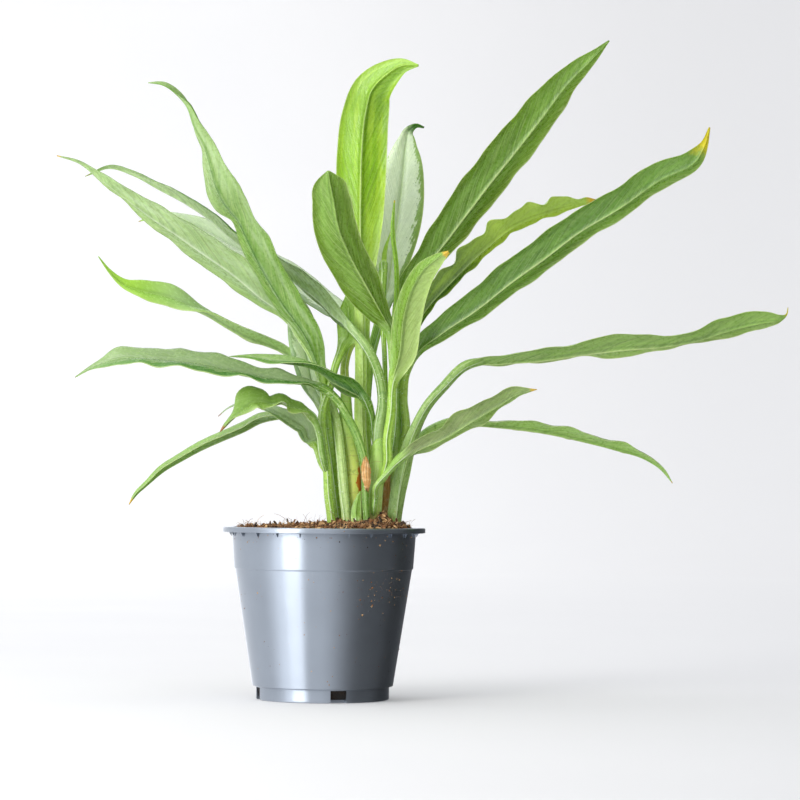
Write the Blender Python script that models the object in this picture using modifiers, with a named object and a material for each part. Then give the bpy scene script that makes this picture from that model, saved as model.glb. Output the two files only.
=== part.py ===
"""Potted chinese evergreen in a nursery pot, in metres with +Z up.

The origin is the centre of the pot's underside, and -Y is the side that faces the viewer. The pot is a
turned shell with drain notches, the soil a turned and roughened plug with a plain hole for each stem,
and every leaf is one loft from its round sheath to its blade.
"""

import math

import bmesh
import bpy
import numpy as np
from mathutils import Matrix, Vector

MM = 0.001
GAP = 0.0003

# The pot's turned wall, as (radius, height) in mm.
POT_STEPS = 48
LIP = (
    (53.4, 101.5), (59.4, 101.5), (60.0, 100.9), (60.0, 98.4), (58.8, 98.4), (58.8, 100.2), (54.8, 100.2),
)
OUTER_WALL = ((54.6, 99.8), (53.0, 77.2), (52.3, 76.6), (41.6, 8.0), (39.35, 7.6), (39.35, 0.6), (38.9, 0.0))
FLOOR_THICKNESS = 1.6
INNER_WALL = ((38.1, FLOOR_THICKNESS), (38.1, 8.4), (40.4, 9.2), (51.1, 76.4), (51.8, 77.4), (53.4, 99.6))

# Four drain notches cut the lower ring and the corner of the floor.
NOTCH_WIDTH = 9.5
NOTCH_TOP = 7.2
NOTCH_INNER_RADIUS = 34.0
NOTCH_DEPTH = 10.0
NOTCH_BEARINGS = (15, 105, 195, 285)

# The soil stands this high at the rim, and its mound is lifted most on the right.
SOIL_EDGE = 99.6
SOIL_WALL = ((37.8, 1.9), (37.8, 8.8), (40.0, 9.6), (50.7, 76.4), (51.4, 77.6), (52.9, 97.0))
SOIL_RADIUS = 53.0
SOIL_RINGS = (51.0, 43.0, 34.0, 25.0, 15.0, 6.0)
SOIL_STEPS = 40
SOIL_LIFT = 2.6
SOIL_ROUGHNESS = 0.8
MOUND_BEARING = 100
MOUND_LIFT = 2.6

# Stems reach down to this height in holes a little wider than they are.
ROOT_HEIGHT = 90.0
ROOTED_BELOW = 107.0
ROOT_PLAY = 0.5
HOLE_TOP = 120.0
HOLE_SIDES = 12

# A leaf's section has five columns above and five below, and rings about this far apart in mm.
BLADE_COLUMNS = (-1.0, -0.52, 0.0, 0.52, 1.0)
STEM_COLUMNS = (-0.951, -0.588, 0.0, 0.588, 0.951)
BLADE_RING = 8.5
STEM_RING = 13.0
BLADE_THICKNESS = 0.7
RIB_DEPTH = 0.9
RIB_AT_TIP = 0.15
ROUND_BELOW = 2.9
STEM_ROUND = 0.95
BLADE_ABOVE = 6.0
FULL_HALF = 9.0
TIP_HALF = 0.45

# The edges wave with these two lengths in mm over 2 pi, and a new phase for each leaf.
LONG_WAVE = 5.3
SHORT_WAVE = 3.1
SIDE_PHASE = 1.1
LEAF_PHASE = 1.7

# A sheath that lies against a cane runs along it for this length.
SEAT_LENGTH = 8.0

POT_COLOUR = (0.27, 0.33, 0.39)
SOIL_COLOUR = (0.11, 0.065, 0.035)
HUSK_COLOUR = (0.50, 0.27, 0.11)
LIME = (0.36, 0.58, 0.09)
GREEN = (0.20, 0.40, 0.10)
DEEP = (0.11, 0.28, 0.07)
PALE = (0.45, 0.60, 0.20)
SILVER = (0.42, 0.55, 0.36)

# Each station is x, y, z and half width in mm, and the turn of the upper face away from the viewer in
# degrees: 0 faces the viewer, 90 is edge on and 180 shows the underside.
CANES = {
    "cane_left": (
        (17.5, 1, 105, 4.2, 0), (17.5, 1, 116, 4.4, 0), (16.5, 3, 136, 4.8, 0),
        (13, 7, 156.5, 4.4, 0), (12, 10, 171.5, 3.9, 0), (12, 12, 179.5, 3.2, 0),
    ),
    "cane_centre": (
        (28.5, -5, 105, 5.4, 0), (29.5, -5, 121, 5.2, 0), (31.5, -6, 140, 4.6, 0),
    ),
    "cane_back": (
        (40.5, 10, 106, 4.4, 0), (40.5, 8, 124, 4.5, 0), (39.5, 6, 145, 4.4, 0), (41, 4, 158, 4, 0),
    ),
}

LEAVES = {
    "leaf_tall_lime": {
        "colour": LIME, "fold": 14, "wave": 0.8,
        "stations": (
            (24.5, 9, 105, 4.4, 180), (24.5, 9, 136, 4.6, 180), (22, 5.5, 162, 4.7, 180),
            (22, 4, 195, 4.7, 180), (21.5, 3, 219, 4.6, 180), (21.5, 0, 243, 6, 180),
            (20.5, -1, 261, 10, 180), (20, -2, 281, 13.5, 178), (20, -5, 301, 15, 178),
            (20.5, -9, 323, 15.3, 178), (22.5, -14, 345, 14.3, 180), (26.5, -20, 359, 12, 180),
            (34.5, -25, 367, 9, 180), (43.5, -29, 372, 5, 180), (53.5, -33, 372, 0.6, 180),
        ),
    },
    "leaf_silver_upright": {
        "colour": SILVER, "fold": 12, "wave": 0.8,
        "stations": (
            (25.5, 18, 106, 2.6, 0), (24.5, 18, 142, 2.8, 0), (24, 16, 178, 3, 0), (27, 14, 206, 3, 0),
            (31.5, 15, 224, 3.2, 0), (36.5, 18, 245, 6.5, 0), (39, 22, 265, 12, 0),
            (41, 27, 288, 15.5, 0), (43, 32, 310, 16, 0), (44.5, 38, 328, 12, 0), (47, 42, 337, 6, 10),
            (48.5, 44, 342.5, 3, 20), (53, 45, 345.5, 1.5, 30), (57.5, 46, 344.5, 0.6, 30),
        ),
    },
    "leaf_spike": {
        "colour": LIME, "fold": 30, "wave": 0,
        "seat": ("cane_back", 150, -62),
        "stations": (
            (38, -1, 177, 1.8, 180), (40.5, -2, 198, 1.8, 180), (41.5, -3.5, 225, 1.8, 180),
            (41.5, -4.5, 255, 1.7, 180), (39, 0, 280, 1.5, 180), (40, 2, 296, 0.5, 180),
        ),
    },
    "leaf_young_curl": {
        "colour": LIME, "fold": 30, "wave": 0,
        "seat": ("cane_back", 146, -130),
        "stations": (
            (35, 4, 201, 1.5, 150), (33.5, 4, 231, 1.8, 150), (33.5, 7, 254, 2.8, 140),
            (34, 9, 264, 2.8, 120), (38, 11, 278, 0.5, 110),
        ),
    },
    "leaf_front_left": {
        "colour": GREEN, "fold": 22, "wave": 0.8,
        "seat": ("cane_back", 146, -5),
        "stations": (
            (41, -5, 177, 2.4, 180), (40, -7, 198, 2.4, 185), (37.5, -11, 218, 3.5, 190),
            (30.5, -20, 230, 9, 195), (22.5, -29, 243, 13, 198), (13.5, -38, 258.5, 14, 200),
            (7, -48, 273.5, 14.3, 200), (4, -58, 290.5, 11.5, 195), (2, -68, 306.5, 0.6, 190),
        ),
    },
    "leaf_upper_right": {
        "colour": GREEN, "fold": 14, "wave": 1.0,
        "stations": (
            (40.5, 4, 159, 2.6, 200), (41, 5, 189, 2.8, 205), (41.5, 5, 216, 3.2, 215),
            (45.5, 2.5, 242, 6, 225), (61.5, -4, 262, 11.5, 225), (79, -12, 285.5, 15.5, 225),
            (94, -18, 305.5, 16.5, 225), (108.5, -24, 323.5, 16.2, 225), (123.5, -30, 342.5, 14.8, 225),
            (140.5, -36, 364, 10, 225), (153.5, -40, 376, 5, 225), (164, -44, 386, 0.6, 225),
        ),
    },
    "leaf_ruffled": {
        "colour": LIME, "fold": 16, "wave": 2.4,
        "seat": ("cane_back", 149, 140),
        "stations": (
            (45, 11, 183, 2.3, 205), (47.5, 12, 207, 3, 215), (56.5, 14, 230, 6, 232),
            (74.5, 19, 251, 8, 235), (94, 26, 271, 9.5, 236), (111, 33, 285, 9, 238),
            (127, 41, 292, 8.5, 238), (144, 49, 297.5, 7, 238), (164, 56, 302, 0.6, 235),
        ),
    },
    "leaf_front_curled": {
        "colour": LIME, "fold": 32, "wave": 0.5,
        "seat": ("cane_centre", 131, 50),
        "stations": (
            (37, -13, 153, 2.8, 175), (39, -15, 168, 2.7, 170), (40, -17, 186, 3, 165),
            (45, -21, 203, 9.5, 160), (47.5, -28, 224, 10.5, 158), (51.5, -36, 239, 10, 158),
            (57.5, -45, 250, 8, 160), (65.5, -55, 257, 4.5, 165), (71.5, -61, 261, 0.9, 170),
        ),
    },
    "leaf_right": {
        "colour": GREEN, "fold": 14, "wave": 0.8,
        "seat": ("cane_back", 149, 78),
        "stations": (
            (46.5, 3, 180, 2.5, 205), (48, 0, 195, 3, 215), (54.5, -6, 207, 6, 225),
            (66.5, -12, 217, 9.5, 228), (87.5, -21, 231.5, 12.5, 230), (107.5, -29, 247.5, 14, 230),
            (125.5, -36, 260.5, 14.5, 230), (146, -43, 276, 14, 230), (168, -50, 289, 13, 230),
            (192, -57, 305.5, 11.5, 230), (213, -63, 316.5, 5.5, 225), (218.5, -65, 325.5, 2.5, 215),
            (220.5, -66, 333.5, 0.6, 210),
        ),
    },
    "leaf_long_right": {
        "colour": GREEN, "fold": 12, "wave": 0.9,
        "stations": (
            (41.5, -1, 105, 4.7, 200), (43.5, -2, 121, 4.9, 200), (46.5, -3.5, 136, 5.2, 205),
            (50, -5, 150, 4.8, 210), (54, -5.5, 161, 3.9, 215), (60, -6.5, 173, 3.3, 222),
            (70, -8, 185, 2.9, 230), (83, -10, 197.5, 3.6, 245), (103, -12, 200.5, 8, 250),
            (127, -15, 203, 12, 252), (149.5, -17, 206.5, 14, 252), (175.5, -20, 209.5, 15, 240),
            (199.5, -22, 211, 14, 250), (219.5, -24, 215, 12, 262), (239.5, -26, 221, 9.5, 285),
            (256.5, -28, 224.5, 6, 290), (269.5, -29, 226.5, 0.6, 290),
        ),
    },
    "leaf_short_right": {
        "colour": GREEN, "fold": 14, "wave": 0.8,
        "seat": ("cane_centre", 112, 6),
        "stations": (
            (30.5, -16.5, 125, 1.9, 210), (36.5, -19, 133, 2, 220), (44.5, -23, 142, 3, 230),
            (56, -28, 149, 6.5, 233), (70, -34, 156, 9, 235), (85, -41, 165.5, 10.5, 233),
            (100, -48, 174.5, 9.5, 238), (113, -54, 181.5, 5.5, 245), (123, -58, 182.5, 0.5, 250),
        ),
    },
    "leaf_far_right": {
        "colour": GREEN, "fold": 12, "wave": 0.8,
        "seat": ("cane_back", 118, 150),
        "stations": (
            (45, 13.5, 136, 2.1, 210), (50.5, 16, 148, 2.2, 220), (58.5, 20, 157.5, 2.3, 235),
            (73, 27, 164.5, 3, 250), (91, 34, 164.5, 6.5, 257), (115, 42, 163.5, 10, 258),
            (136, 49, 161, 12, 255), (156, 56, 157, 11.5, 262), (176, 62, 152, 10, 258),
            (195.5, 68, 145.5, 6.5, 262), (205.5, 71, 138.5, 3.5, 262), (212.5, 73, 129.5, 0.5, 262),
        ),
    },
    "leaf_upper_left": {
        "colour": GREEN, "fold": 14, "wave": 0.7,
        "stations": (
            (8.5, 2, 104.5, 2.4, 150), (6.5, 2, 120.5, 2.5, 150), (4.5, 2, 138.5, 2.6, 150),
            (2, 2, 156.5, 2.7, 150), (0, 2.5, 174.5, 2.8, 145), (-1.5, 3, 187.5, 3.2, 140),
            (-4, 0.5, 199.5, 6, 130), (-9.5, -6, 214.5, 11, 126), (-23, -12, 234.5, 14.5, 124),
            (-34, -18, 252.5, 15.5, 123), (-44.5, -24, 268, 15.5, 122), (-53.5, -30, 287, 15.3, 122),
            (-63.5, -36, 306, 14.5, 122), (-72, -42, 322, 11, 117), (-77, -47, 336, 8, 108),
            (-79.5, -51, 346, 6, 92), (-85.5, -53, 352, 4.5, 70), (-93.5, -55, 357, 3, 62),
            (-102.5, -57, 357.5, 0.5, 60),
        ),
    },
    "leaf_long_left": {
        "colour": GREEN, "fold": 12, "wave": 0.8,
        "stations": (
            (13.5, -6, 105.5, 3, 160), (11.5, -5, 123.5, 3.1, 160), (9.5, -3, 144.5, 3, 155),
            (7, 3.5, 162.5, 2.8, 150), (3, 8.5, 175.5, 2.8, 145), (-2, 10.5, 188.5, 2.8, 140),
            (-7, 11.5, 201.5, 2.8, 136), (-15.5, 12, 215.5, 3.2, 132), (-23.5, 12, 227.5, 6, 128),
            (-38.5, 10, 239.5, 12, 128), (-54.5, 7, 253, 15, 128), (-72, 3, 265, 15, 126),
            (-88, -2, 276, 14, 123), (-104, -7, 286.5, 12, 120), (-118, -12, 296.5, 9, 115),
            (-133, -18, 306.5, 5.5, 112), (-145, -23, 314.5, 2.5, 110), (-158, -27, 318, 0.5, 110),
        ),
    },
    "leaf_folded_left": {
        "colour": DEEP, "fold": 14, "wave": 0.5,
        "stations": (
            (31.5, -6, 141, 4, 160), (32, -6, 160, 3.6, 160), (34, -5, 177, 3.2, 155),
            (31, -6, 194, 3, 145), (24.5, -7, 208, 3.1, 130), (15.5, -4, 219, 4, 120),
            (6.5, 4, 227.5, 9, 114), (-4.5, 12, 239.5, 12, 112), (-14.5, 17, 247.5, 13, 110),
            (-25.5, 21, 255.5, 13, 105), (-40, 25, 265.5, 12.5, 98), (-53, 28, 274, 12, 94),
            (-70, 31, 288, 11, 94), (-87, 34, 299, 10, 94), (-102, 37, 306.5, 8, 94),
            (-118, 39, 314.5, 6, 92), (-133, 41, 318.5, 4, 92), (-148, 41, 312.5, 0.5, 92),
        ),
    },
    "leaf_pale_back": {
        "colour": SILVER, "fold": 12, "wave": 0.7,
        "stations": (
            (12, 12.5, 180.4, 3, 40), (11, 16, 198, 2.6, 40), (13, 21, 208, 2.8, 42), (16, 27, 216, 4, 45),
            (12, 35, 226, 8, 50), (1, 42, 235, 11, 50), (-15, 50, 247, 13, 50), (-31, 54, 258, 13, 50),
            (-47, 57, 267, 12, 50), (-60, 59, 274, 11, 50), (-76, 61, 283, 9.5, 52),
            (-91, 62, 289, 7, 55), (-103, 62, 291, 4, 58), (-117, 62, 287, 0.5, 60),
        ),
    },
    "leaf_twisting_left": {
        "colour": LIME, "fold": 12, "wave": 0.6,
        "stations": (
            (9.5, 10, 103.5, 2.2, 130), (8.5, 12, 123.5, 2.2, 130), (5.5, 16, 144.5, 2.2, 128),
            (1, 20, 165.5, 2.3, 125), (-4, 23, 182.5, 2.4, 122), (-11, 25, 195.5, 2.8, 118),
            (-21, 25, 204.5, 6, 112), (-32.5, 22, 210.5, 9, 108), (-45.5, 15, 215, 11, 105),
            (-58.5, 8, 222, 12, 98), (-69.5, 2, 229, 12, 88), (-80.5, -4, 232, 12, 72),
            (-92.5, -9, 237, 10.5, 60), (-105.5, -14, 239.5, 8, 56), (-119.5, -18, 242.5, 4, 58),
            (-127.5, -20, 251.5, 2, 60), (-133.5, -21, 259.5, 0.5, 60),
        ),
    },
    "leaf_level_left": {
        "colour": SILVER, "fold": 12, "wave": 1.2,
        "stations": (
            (25.5, -14, 105, 2, 130), (24.5, -14, 118, 2.1, 130), (24.5, -14, 130, 2.4, 130),
            (22.5, -14, 145, 2.6, 125), (18, -14, 158, 2.6, 115), (13, -14, 167.5, 2.6, 105),
            (8, -15, 175.5, 2.7, 92), (0, -17, 182.5, 3.2, 80), (-9, -19, 186.5, 6.5, 72),
            (-18, -21, 188, 9.5, 70), (-32, -23, 190, 12, 69), (-46, -24, 192.5, 13, 67),
            (-60, -25, 195.5, 13.5, 65), (-74, -25, 198.5, 13.5, 60), (-89, -24, 199.5, 12.5, 65),
            (-103, -22, 201, 11.5, 63), (-118, -20, 201, 9, 50), (-132, -18, 197, 4.5, 55),
            (-147, -16, 188.5, 0.5, 60),
        ),
    },
    "leaf_above_level": {
        "colour": DEEP, "fold": 12, "wave": 0.8,
        "stations": (
            (30.5, 3, 106, 2, 150), (31.5, 2.5, 124, 2, 150), (31.5, 2.5, 142, 2, 150),
            (29, 1, 157, 2.1, 145), (27, -2, 170, 2.4, 138), (23, -8, 178, 4, 130),
            (15, -12, 183.5, 8.5, 125), (6, -14, 188.5, 9.5, 112), (-2, -15, 194.5, 9.5, 96),
            (-12, -13, 198.5, 9, 82), (-21, -11, 199.5, 8, 72), (-32, -9, 200.5, 7, 66),
            (-44, -6, 202, 4, 66), (-57, -5, 202, 0.5, 70),
        ),
    },
    "leaf_crumpled": {
        "colour": DEEP, "fold": 16, "wave": 2.0,
        "seat": ("leaf_young_lime", 138, -20),
        "stations": (
            (-3, -11, 155.5, 2.2, 105), (-6, -13, 164.5, 2.6, 90), (-12, -16, 171.5, 5, 78),
            (-21, -20, 174.5, 8, 70), (-32, -24, 175.5, 10, 58), (-42, -28, 174, 10, 55),
            (-51, -32, 168, 6, 60), (-60, -36, 157, 0.6, 65),
        ),
    },
    "leaf_under_crumpled": {
        "colour": SILVER, "fold": 12, "wave": 0.6,
        "seat": ("leaf_young_lime", 138, -115),
        "stations": (
            (-5.5, -3, 149, 2, 55), (-9, -1, 153.5, 7, 48), (-11.5, 0, 160.5, 8.5, 45),
            (-19.5, 2, 165.5, 7.5, 50), (-30.5, 5, 170.5, 5.5, 55), (-39.5, 9, 173.5, 3.5, 60),
            (-49.5, 13, 175, 2.2, 65), (-58.5, 16, 172, 1.2, 70), (-64.5, 18, 167, 0.5, 70),
        ),
    },
    "leaf_low_narrow": {
        "colour": GREEN, "fold": 16, "wave": 0.5,
        "stations": (
            (5.5, 17, 104.5, 2.2, 110), (2.5, 18, 123.5, 2.2, 108), (-0.5, 18, 144.5, 2.2, 104),
            (-5, 18, 161.5, 2.4, 96), (-16, 20, 168.5, 4.5, 84), (-28, 24, 168.5, 8, 80),
            (-40, 29, 166.5, 10, 78), (-51, 34, 161, 10, 78), (-65, 39, 155, 9.5, 78),
            (-76, 43, 150, 9, 78), (-88.5, 47, 143, 8, 78), (-100.5, 50, 135.5, 7, 78),
            (-110.5, 53, 125.5, 5, 76), (-118.5, 55, 120.5, 3, 76), (-120.5, 56, 113.5, 0.6, 76),
        ),
    },
    "leaf_pale_blade": {
        "colour": SILVER, "fold": 12, "wave": 0.6,
        "stations": (
            (12.5, 5, 104.5, 2, 20), (9.5, 8, 123.5, 2, 20), (5.5, 10, 144.5, 2.2, 18),
            (1, 13, 162.5, 2.4, 15), (-3, 16, 176.5, 4.5, 12), (-8, 17, 188.5, 8, 12),
            (-11, 17, 202.5, 10, 14), (-14.5, 22, 218.5, 9.5, 16), (-17.5, 25, 232.5, 6.5, 18),
            (-20.5, 28, 243.5, 0.6, 20),
        ),
    },
    "leaf_young_lime": {
        "colour": LIME, "fold": 12, "wave": 0.4,
        "stations": (
            (4.5, -6, 104.5, 2.7, 150), (2.5, -6, 120.5, 2.7, 150), (1.5, -6, 136.5, 2.6, 150),
            (-1, -5, 153.5, 2.5, 145), (-1.5, -4, 169.5, 2.4, 140), (2.5, -3.5, 183, 2.3, 150),
            (6, -1, 197.5, 2.3, 160), (9.5, 8, 207.5, 3.2, 165), (13.5, 14, 218.5, 7.5, 170),
            (13.5, 18, 229.5, 7.5, 172), (11.5, 21, 240.5, 0.5, 175),
        ),
    },
    "shoot_small": {
        "colour": PALE, "fold": 20, "wave": 0,
        "stations": (
            (19.5, -11, 103, 3.2, 180), (19, -11, 112, 3.2, 175), (20, -10, 118, 2, 170),
            (21.5, -9.5, 123, 0.5, 165),
        ),
    },
    "papery_sheath": {
        "colour": HUSK_COLOUR, "fold": -30, "wave": 0, "flat": True,
        "stations": (
            (25.5, -17.5, 124, 1.6, 0), (25, -17.5, 129, 3.2, 0), (24.5, -17.5, 135, 3.4, 0),
            (25, -18, 141, 1.4, 0),
        ),
    },
}


def collection(name, hidden=False):
    made = bpy.data.collections.new(name)
    bpy.context.scene.collection.children.link(made)
    made.hide_render = hidden
    return made


def material(name, colour, roughness):
    made = bpy.data.materials.new(name)
    made.use_nodes = True
    shader = made.node_tree.nodes["Principled BSDF"]
    shader.inputs["Base Color"].default_value = (*colour, 1)
    shader.inputs["Roughness"].default_value = roughness
    made.diffuse_color = (*colour, 1)
    return made


def mesh_object(name, points, faces, where, finish):
    """A smooth shaded object from points in mm and faces, at the origin."""
    mesh = bpy.data.meshes.new(name)
    mesh.from_pydata([tuple(point * MM) for point in np.asarray(points, float)], [], faces)
    mesh.update()
    made = bpy.data.objects.new(name, mesh)
    where.objects.link(made)
    mesh.materials.append(finish)
    mesh.shade_smooth()
    mesh.set_sharp_from_angle(angle=math.radians(50))
    return made


def turned(name, profile, steps, where, finish):
    """A solid turned round Z from (radius, height) points in mm that start and end on the axis."""
    mesh = bpy.data.meshes.new(name)
    edges = [(i, i + 1) for i in range(len(profile) - 1)]
    mesh.from_pydata([(r * MM, 0, z * MM) for r, z in profile], edges, [])
    mesh.materials.append(finish)
    made = bpy.data.objects.new(name, mesh)
    where.objects.link(made)
    screw = made.modifiers.new("Turn", "SCREW")
    screw.axis = "Z"
    screw.steps = steps
    screw.render_steps = steps
    screw.use_merge_vertices = True
    screw.merge_threshold = 1e-5
    return made


def cutter(name, shape, where):
    """A hidden object that cuts, from a bmesh in metres."""
    mesh = bpy.data.meshes.new(name)
    shape.to_mesh(mesh)
    shape.free()
    made = bpy.data.objects.new(name, mesh)
    where.objects.link(made)
    made.hide_render = True
    made.display_type = "WIRE"
    return made


def notch(bearing, where):
    """A box across the lower ring, turned about Z from the viewer's side."""
    shape = bmesh.new()
    bmesh.ops.create_cube(shape, size=1)
    size = Vector((NOTCH_WIDTH, NOTCH_DEPTH, NOTCH_TOP * 2)) * MM
    bmesh.ops.scale(shape, vec=size, verts=shape.verts)
    made = cutter("notch_%d" % bearing, shape, where)
    middle = Vector((0, -(NOTCH_INNER_RADIUS + NOTCH_DEPTH / 2), 0)) * MM
    made.matrix_world = Matrix.Rotation(math.radians(bearing), 4, "Z") @ Matrix.Translation(middle)


def stem_hole(name, x, y, half, where):
    """An upright round hole a little wider than the stem."""
    shape = bmesh.new()
    radius = (half + ROOT_PLAY) * MM
    depth = (HOLE_TOP - ROOT_HEIGHT) * MM
    bmesh.ops.create_cone(
        shape, cap_ends=True, segments=HOLE_SIDES, radius1=radius, radius2=radius, depth=depth
    )
    made = cutter("hole_" + name, shape, where)
    made.location = (x * MM, y * MM, ROOT_HEIGHT * MM + depth / 2 - GAP)


def cut(target, others):
    """Cuts every object of a collection out of the target."""
    boolean = target.modifiers.new("Cut " + others.name, "BOOLEAN")
    boolean.operation = "DIFFERENCE"
    boolean.operand_type = "COLLECTION"
    boolean.collection = others
    boolean.solver = "EXACT"


def smooth_path(stations):
    """Points on a Catmull-Rom curve through the stations, as far apart as spacing_of says.

    Each piece between two stations is the Hermite cubic whose end slopes are the mean slopes of the
    pieces on either side, with the distance between stations as its parameter.
    """
    rows = np.asarray(stations, float)
    length = np.linalg.norm(np.diff(rows[:, :3], axis=0), axis=1)
    at = np.concatenate([[0], np.cumsum(length)])
    step = np.diff(rows, axis=0) / length[:, None]
    slope = np.empty_like(rows)
    slope[0] = step[0]
    slope[-1] = step[-1]
    blend = (length[:-1] / (length[:-1] + length[1:]))[:, None]
    slope[1:-1] = step[:-1] * (1 - blend) + step[1:] * blend
    dense = np.linspace(0, at[-1], 400)
    spacing = spacing_of(np.interp(dense, at, rows[:, 3]))
    need = np.concatenate([[0], np.cumsum(np.diff(dense) / spacing[1:])])
    rings = max(3, int(round(need[-1])))
    where = np.interp(np.linspace(0, need[-1], rings + 1), need, dense)
    part = np.clip(np.searchsorted(at, where, side="right") - 1, 0, len(length) - 1)
    t = ((where - at[part]) / length[part])[:, None]
    span = length[part][:, None]
    return (
        rows[part] * (2 * t**3 - 3 * t**2 + 1)
        + slope[part] * span * (t**3 - 2 * t**2 + t)
        + rows[part + 1] * (3 * t**2 - 2 * t**3)
        + slope[part + 1] * span * (t**3 - t**2)
    )


def frames(points, turns):
    """Directions across the blade and out of its upper face, for each ring.

    Across is the direction square to the path in the viewer's picture, turned about the path by the
    station's turn. The upper face is then along cross across.
    """
    along = np.gradient(points, axis=0)
    along /= np.linalg.norm(along, axis=1)[:, None]
    flat = np.stack([-along[:, 2], np.zeros(len(along)), along[:, 0]], axis=1)
    flat /= np.linalg.norm(flat, axis=1)[:, None]
    deep = np.cross(along, flat)
    turn = np.radians(turns)[:, None]
    across = np.cos(turn) * flat + np.sin(turn) * deep
    return across, np.cross(along, across)


def blade_share(half):
    """How far the section is a blade's, from 0 on a stem to 1."""
    return np.clip((half - ROUND_BELOW) / (BLADE_ABOVE - ROUND_BELOW), 0, 1)


def spacing_of(half):
    """Rings stand closer on the blade than on the stem."""
    return STEM_RING + (BLADE_RING - STEM_RING) * blade_share(half)


def leaf_faces(rings):
    """Triangles of a closed loft with ten points a ring, split alike on its upper and lower face."""
    faces = []
    for ring in range(rings - 1):
        a = ring * 10
        b = a + 10
        for column in range(4):
            top = (a + column, b + column, b + column + 1, a + column + 1)
            low = (a + 9 - column, b + 9 - column, b + 8 - column, a + 8 - column)
            faces += [(top[0], top[2], top[3]), (top[0], top[1], top[2])]
            faces += [(low[0], low[3], low[2]), (low[0], low[2], low[1])]
        for here, there in ((4, 5), (9, 0)):
            faces += [(a + here, b + there, a + there), (a + here, b + here, b + there)]
    end = (rings - 1) * 10
    faces.append(tuple(range(10)))
    faces.append(tuple(range(end + 9, end - 1, -1)))
    return faces


def leaf_points(stations, fold, wave, seed, kind):
    """The loft's points in mm: ten to a ring, five across the upper face and five back below it.

    A stem's section is nearly round. A blade's is a shallow V whose middle height lies on the path, its
    edges wave up and down, and its underside carries the midrib. Widths between the two are blended.
    """
    rows = smooth_path(stations)
    points = rows[:, :3]
    half = np.maximum(rows[:, 3], TIP_HALF)
    across, upper = frames(points, rows[:, 4])
    blade = blade_share(half)
    blade[np.argmax(half):] = 1
    if kind != "leaf":
        blade[:] = kind == "flat"
    blade = blade[:, None]
    column = (1 - blade) * np.array(STEM_COLUMNS) + blade * np.array(BLADE_COLUMNS)
    walk = np.concatenate([[0], np.cumsum(np.linalg.norm(np.diff(points, axis=0), axis=1))])[:, None]
    phase = seed * LEAF_PHASE
    ripple = np.sin(walk / LONG_WAVE + phase + np.sign(column) * SIDE_PHASE)
    ripple = ripple + 0.5 * np.sin(walk / SHORT_WAVE + phase)
    slope = math.radians(fold)
    share = np.clip(half[:, None] / FULL_HALF, 0, 1)
    lift = blade * half[:, None] * (np.abs(column) - 0.5) * math.sin(slope)
    lift = lift + blade * wave * ripple * column**2 * share
    reach = half[:, None] * column * (1 - blade + blade * math.cos(slope))
    round_top = STEM_ROUND * half[:, None] * np.sqrt(1 - np.array(STEM_COLUMNS) ** 2)
    rib = RIB_DEPTH * np.maximum(share, RIB_AT_TIP) * (np.array(BLADE_COLUMNS) == 0)
    top = (1 - blade) * round_top + blade * BLADE_THICKNESS / 2
    low = (1 - blade) * round_top + blade * (BLADE_THICKNESS / 2 + rib)
    middle = points[:, None, :] + reach[:, :, None] * across[:, None, :]
    raised = middle + (lift + top)[:, :, None] * upper[:, None, :]
    below = middle + (lift - low)[:, :, None] * upper[:, None, :]
    return np.concatenate([raised, below[:, ::-1]], axis=1).reshape(-1, 3)


def rooted(stations):
    """The stations of a stem that stands in the soil, carried straight down into its hole."""
    x, y, _, half, turn = stations[0]
    return ((x, y, ROOT_HEIGHT, half, turn), *stations)


def beside(carrier, height, bearing, half):
    """Where a stem's centre is when it lies beside its carrier at this height and bearing."""
    rows = np.asarray(CANES[carrier] if carrier in CANES else LEAVES[carrier]["stations"], float)
    x, y, radius = (np.interp(height, rows[:, 2], rows[:, i]) for i in (0, 1, 3))
    away = radius + half + GAP / MM
    return x + away * math.sin(math.radians(bearing)), y - away * math.cos(math.radians(bearing))


def seated(leaf):
    """The stations of a leaf whose sheath starts beside a cane or a stem and lies along it at first."""
    carrier, height, bearing = leaf["seat"]
    half, turn = leaf["stations"][0][3:]
    low = (*beside(carrier, height, bearing, half), height, half, turn)
    above = height + SEAT_LENGTH
    high = (*beside(carrier, above, bearing, half), above, half, turn)
    return (low, high, *leaf["stations"])


def leaf_stations(leaf):
    if "seat" in leaf:
        return seated(leaf)
    if leaf["stations"][0][2] < ROOTED_BELOW:
        return rooted(leaf["stations"])
    return leaf["stations"]


def loft(name, stations, fold, wave, seed, where, finish, kind="leaf"):
    points = leaf_points(stations, fold, wave, seed, kind)
    return mesh_object(name, points, leaf_faces(len(points) // 10), where, finish)


def make_pot(parts, cutters):
    profile = ((0, FLOOR_THICKNESS), *INNER_WALL, *LIP, *OUTER_WALL, (0, 0))
    pot = turned("pot", profile, POT_STEPS, parts, material("Pot plastic", POT_COLOUR, 0.25))
    for bearing in NOTCH_BEARINGS:
        notch(bearing, cutters)
    cut(pot, cutters)


def soil_height(radius, bearing):
    """Height of the soil in mm: a low mound, lifted towards one side, with fixed ripples."""
    inward = 1 - (radius / SOIL_RADIUS) ** 2
    side = 0.5 + 0.5 * math.cos(math.radians(bearing - MOUND_BEARING))
    ripple = math.sin(bearing * 0.19 + radius * 0.5) * math.cos(bearing * 0.083 - radius * 0.31)
    return SOIL_EDGE + inward * (SOIL_LIFT + MOUND_LIFT * side) + SOIL_ROUGHNESS * ripple


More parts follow.
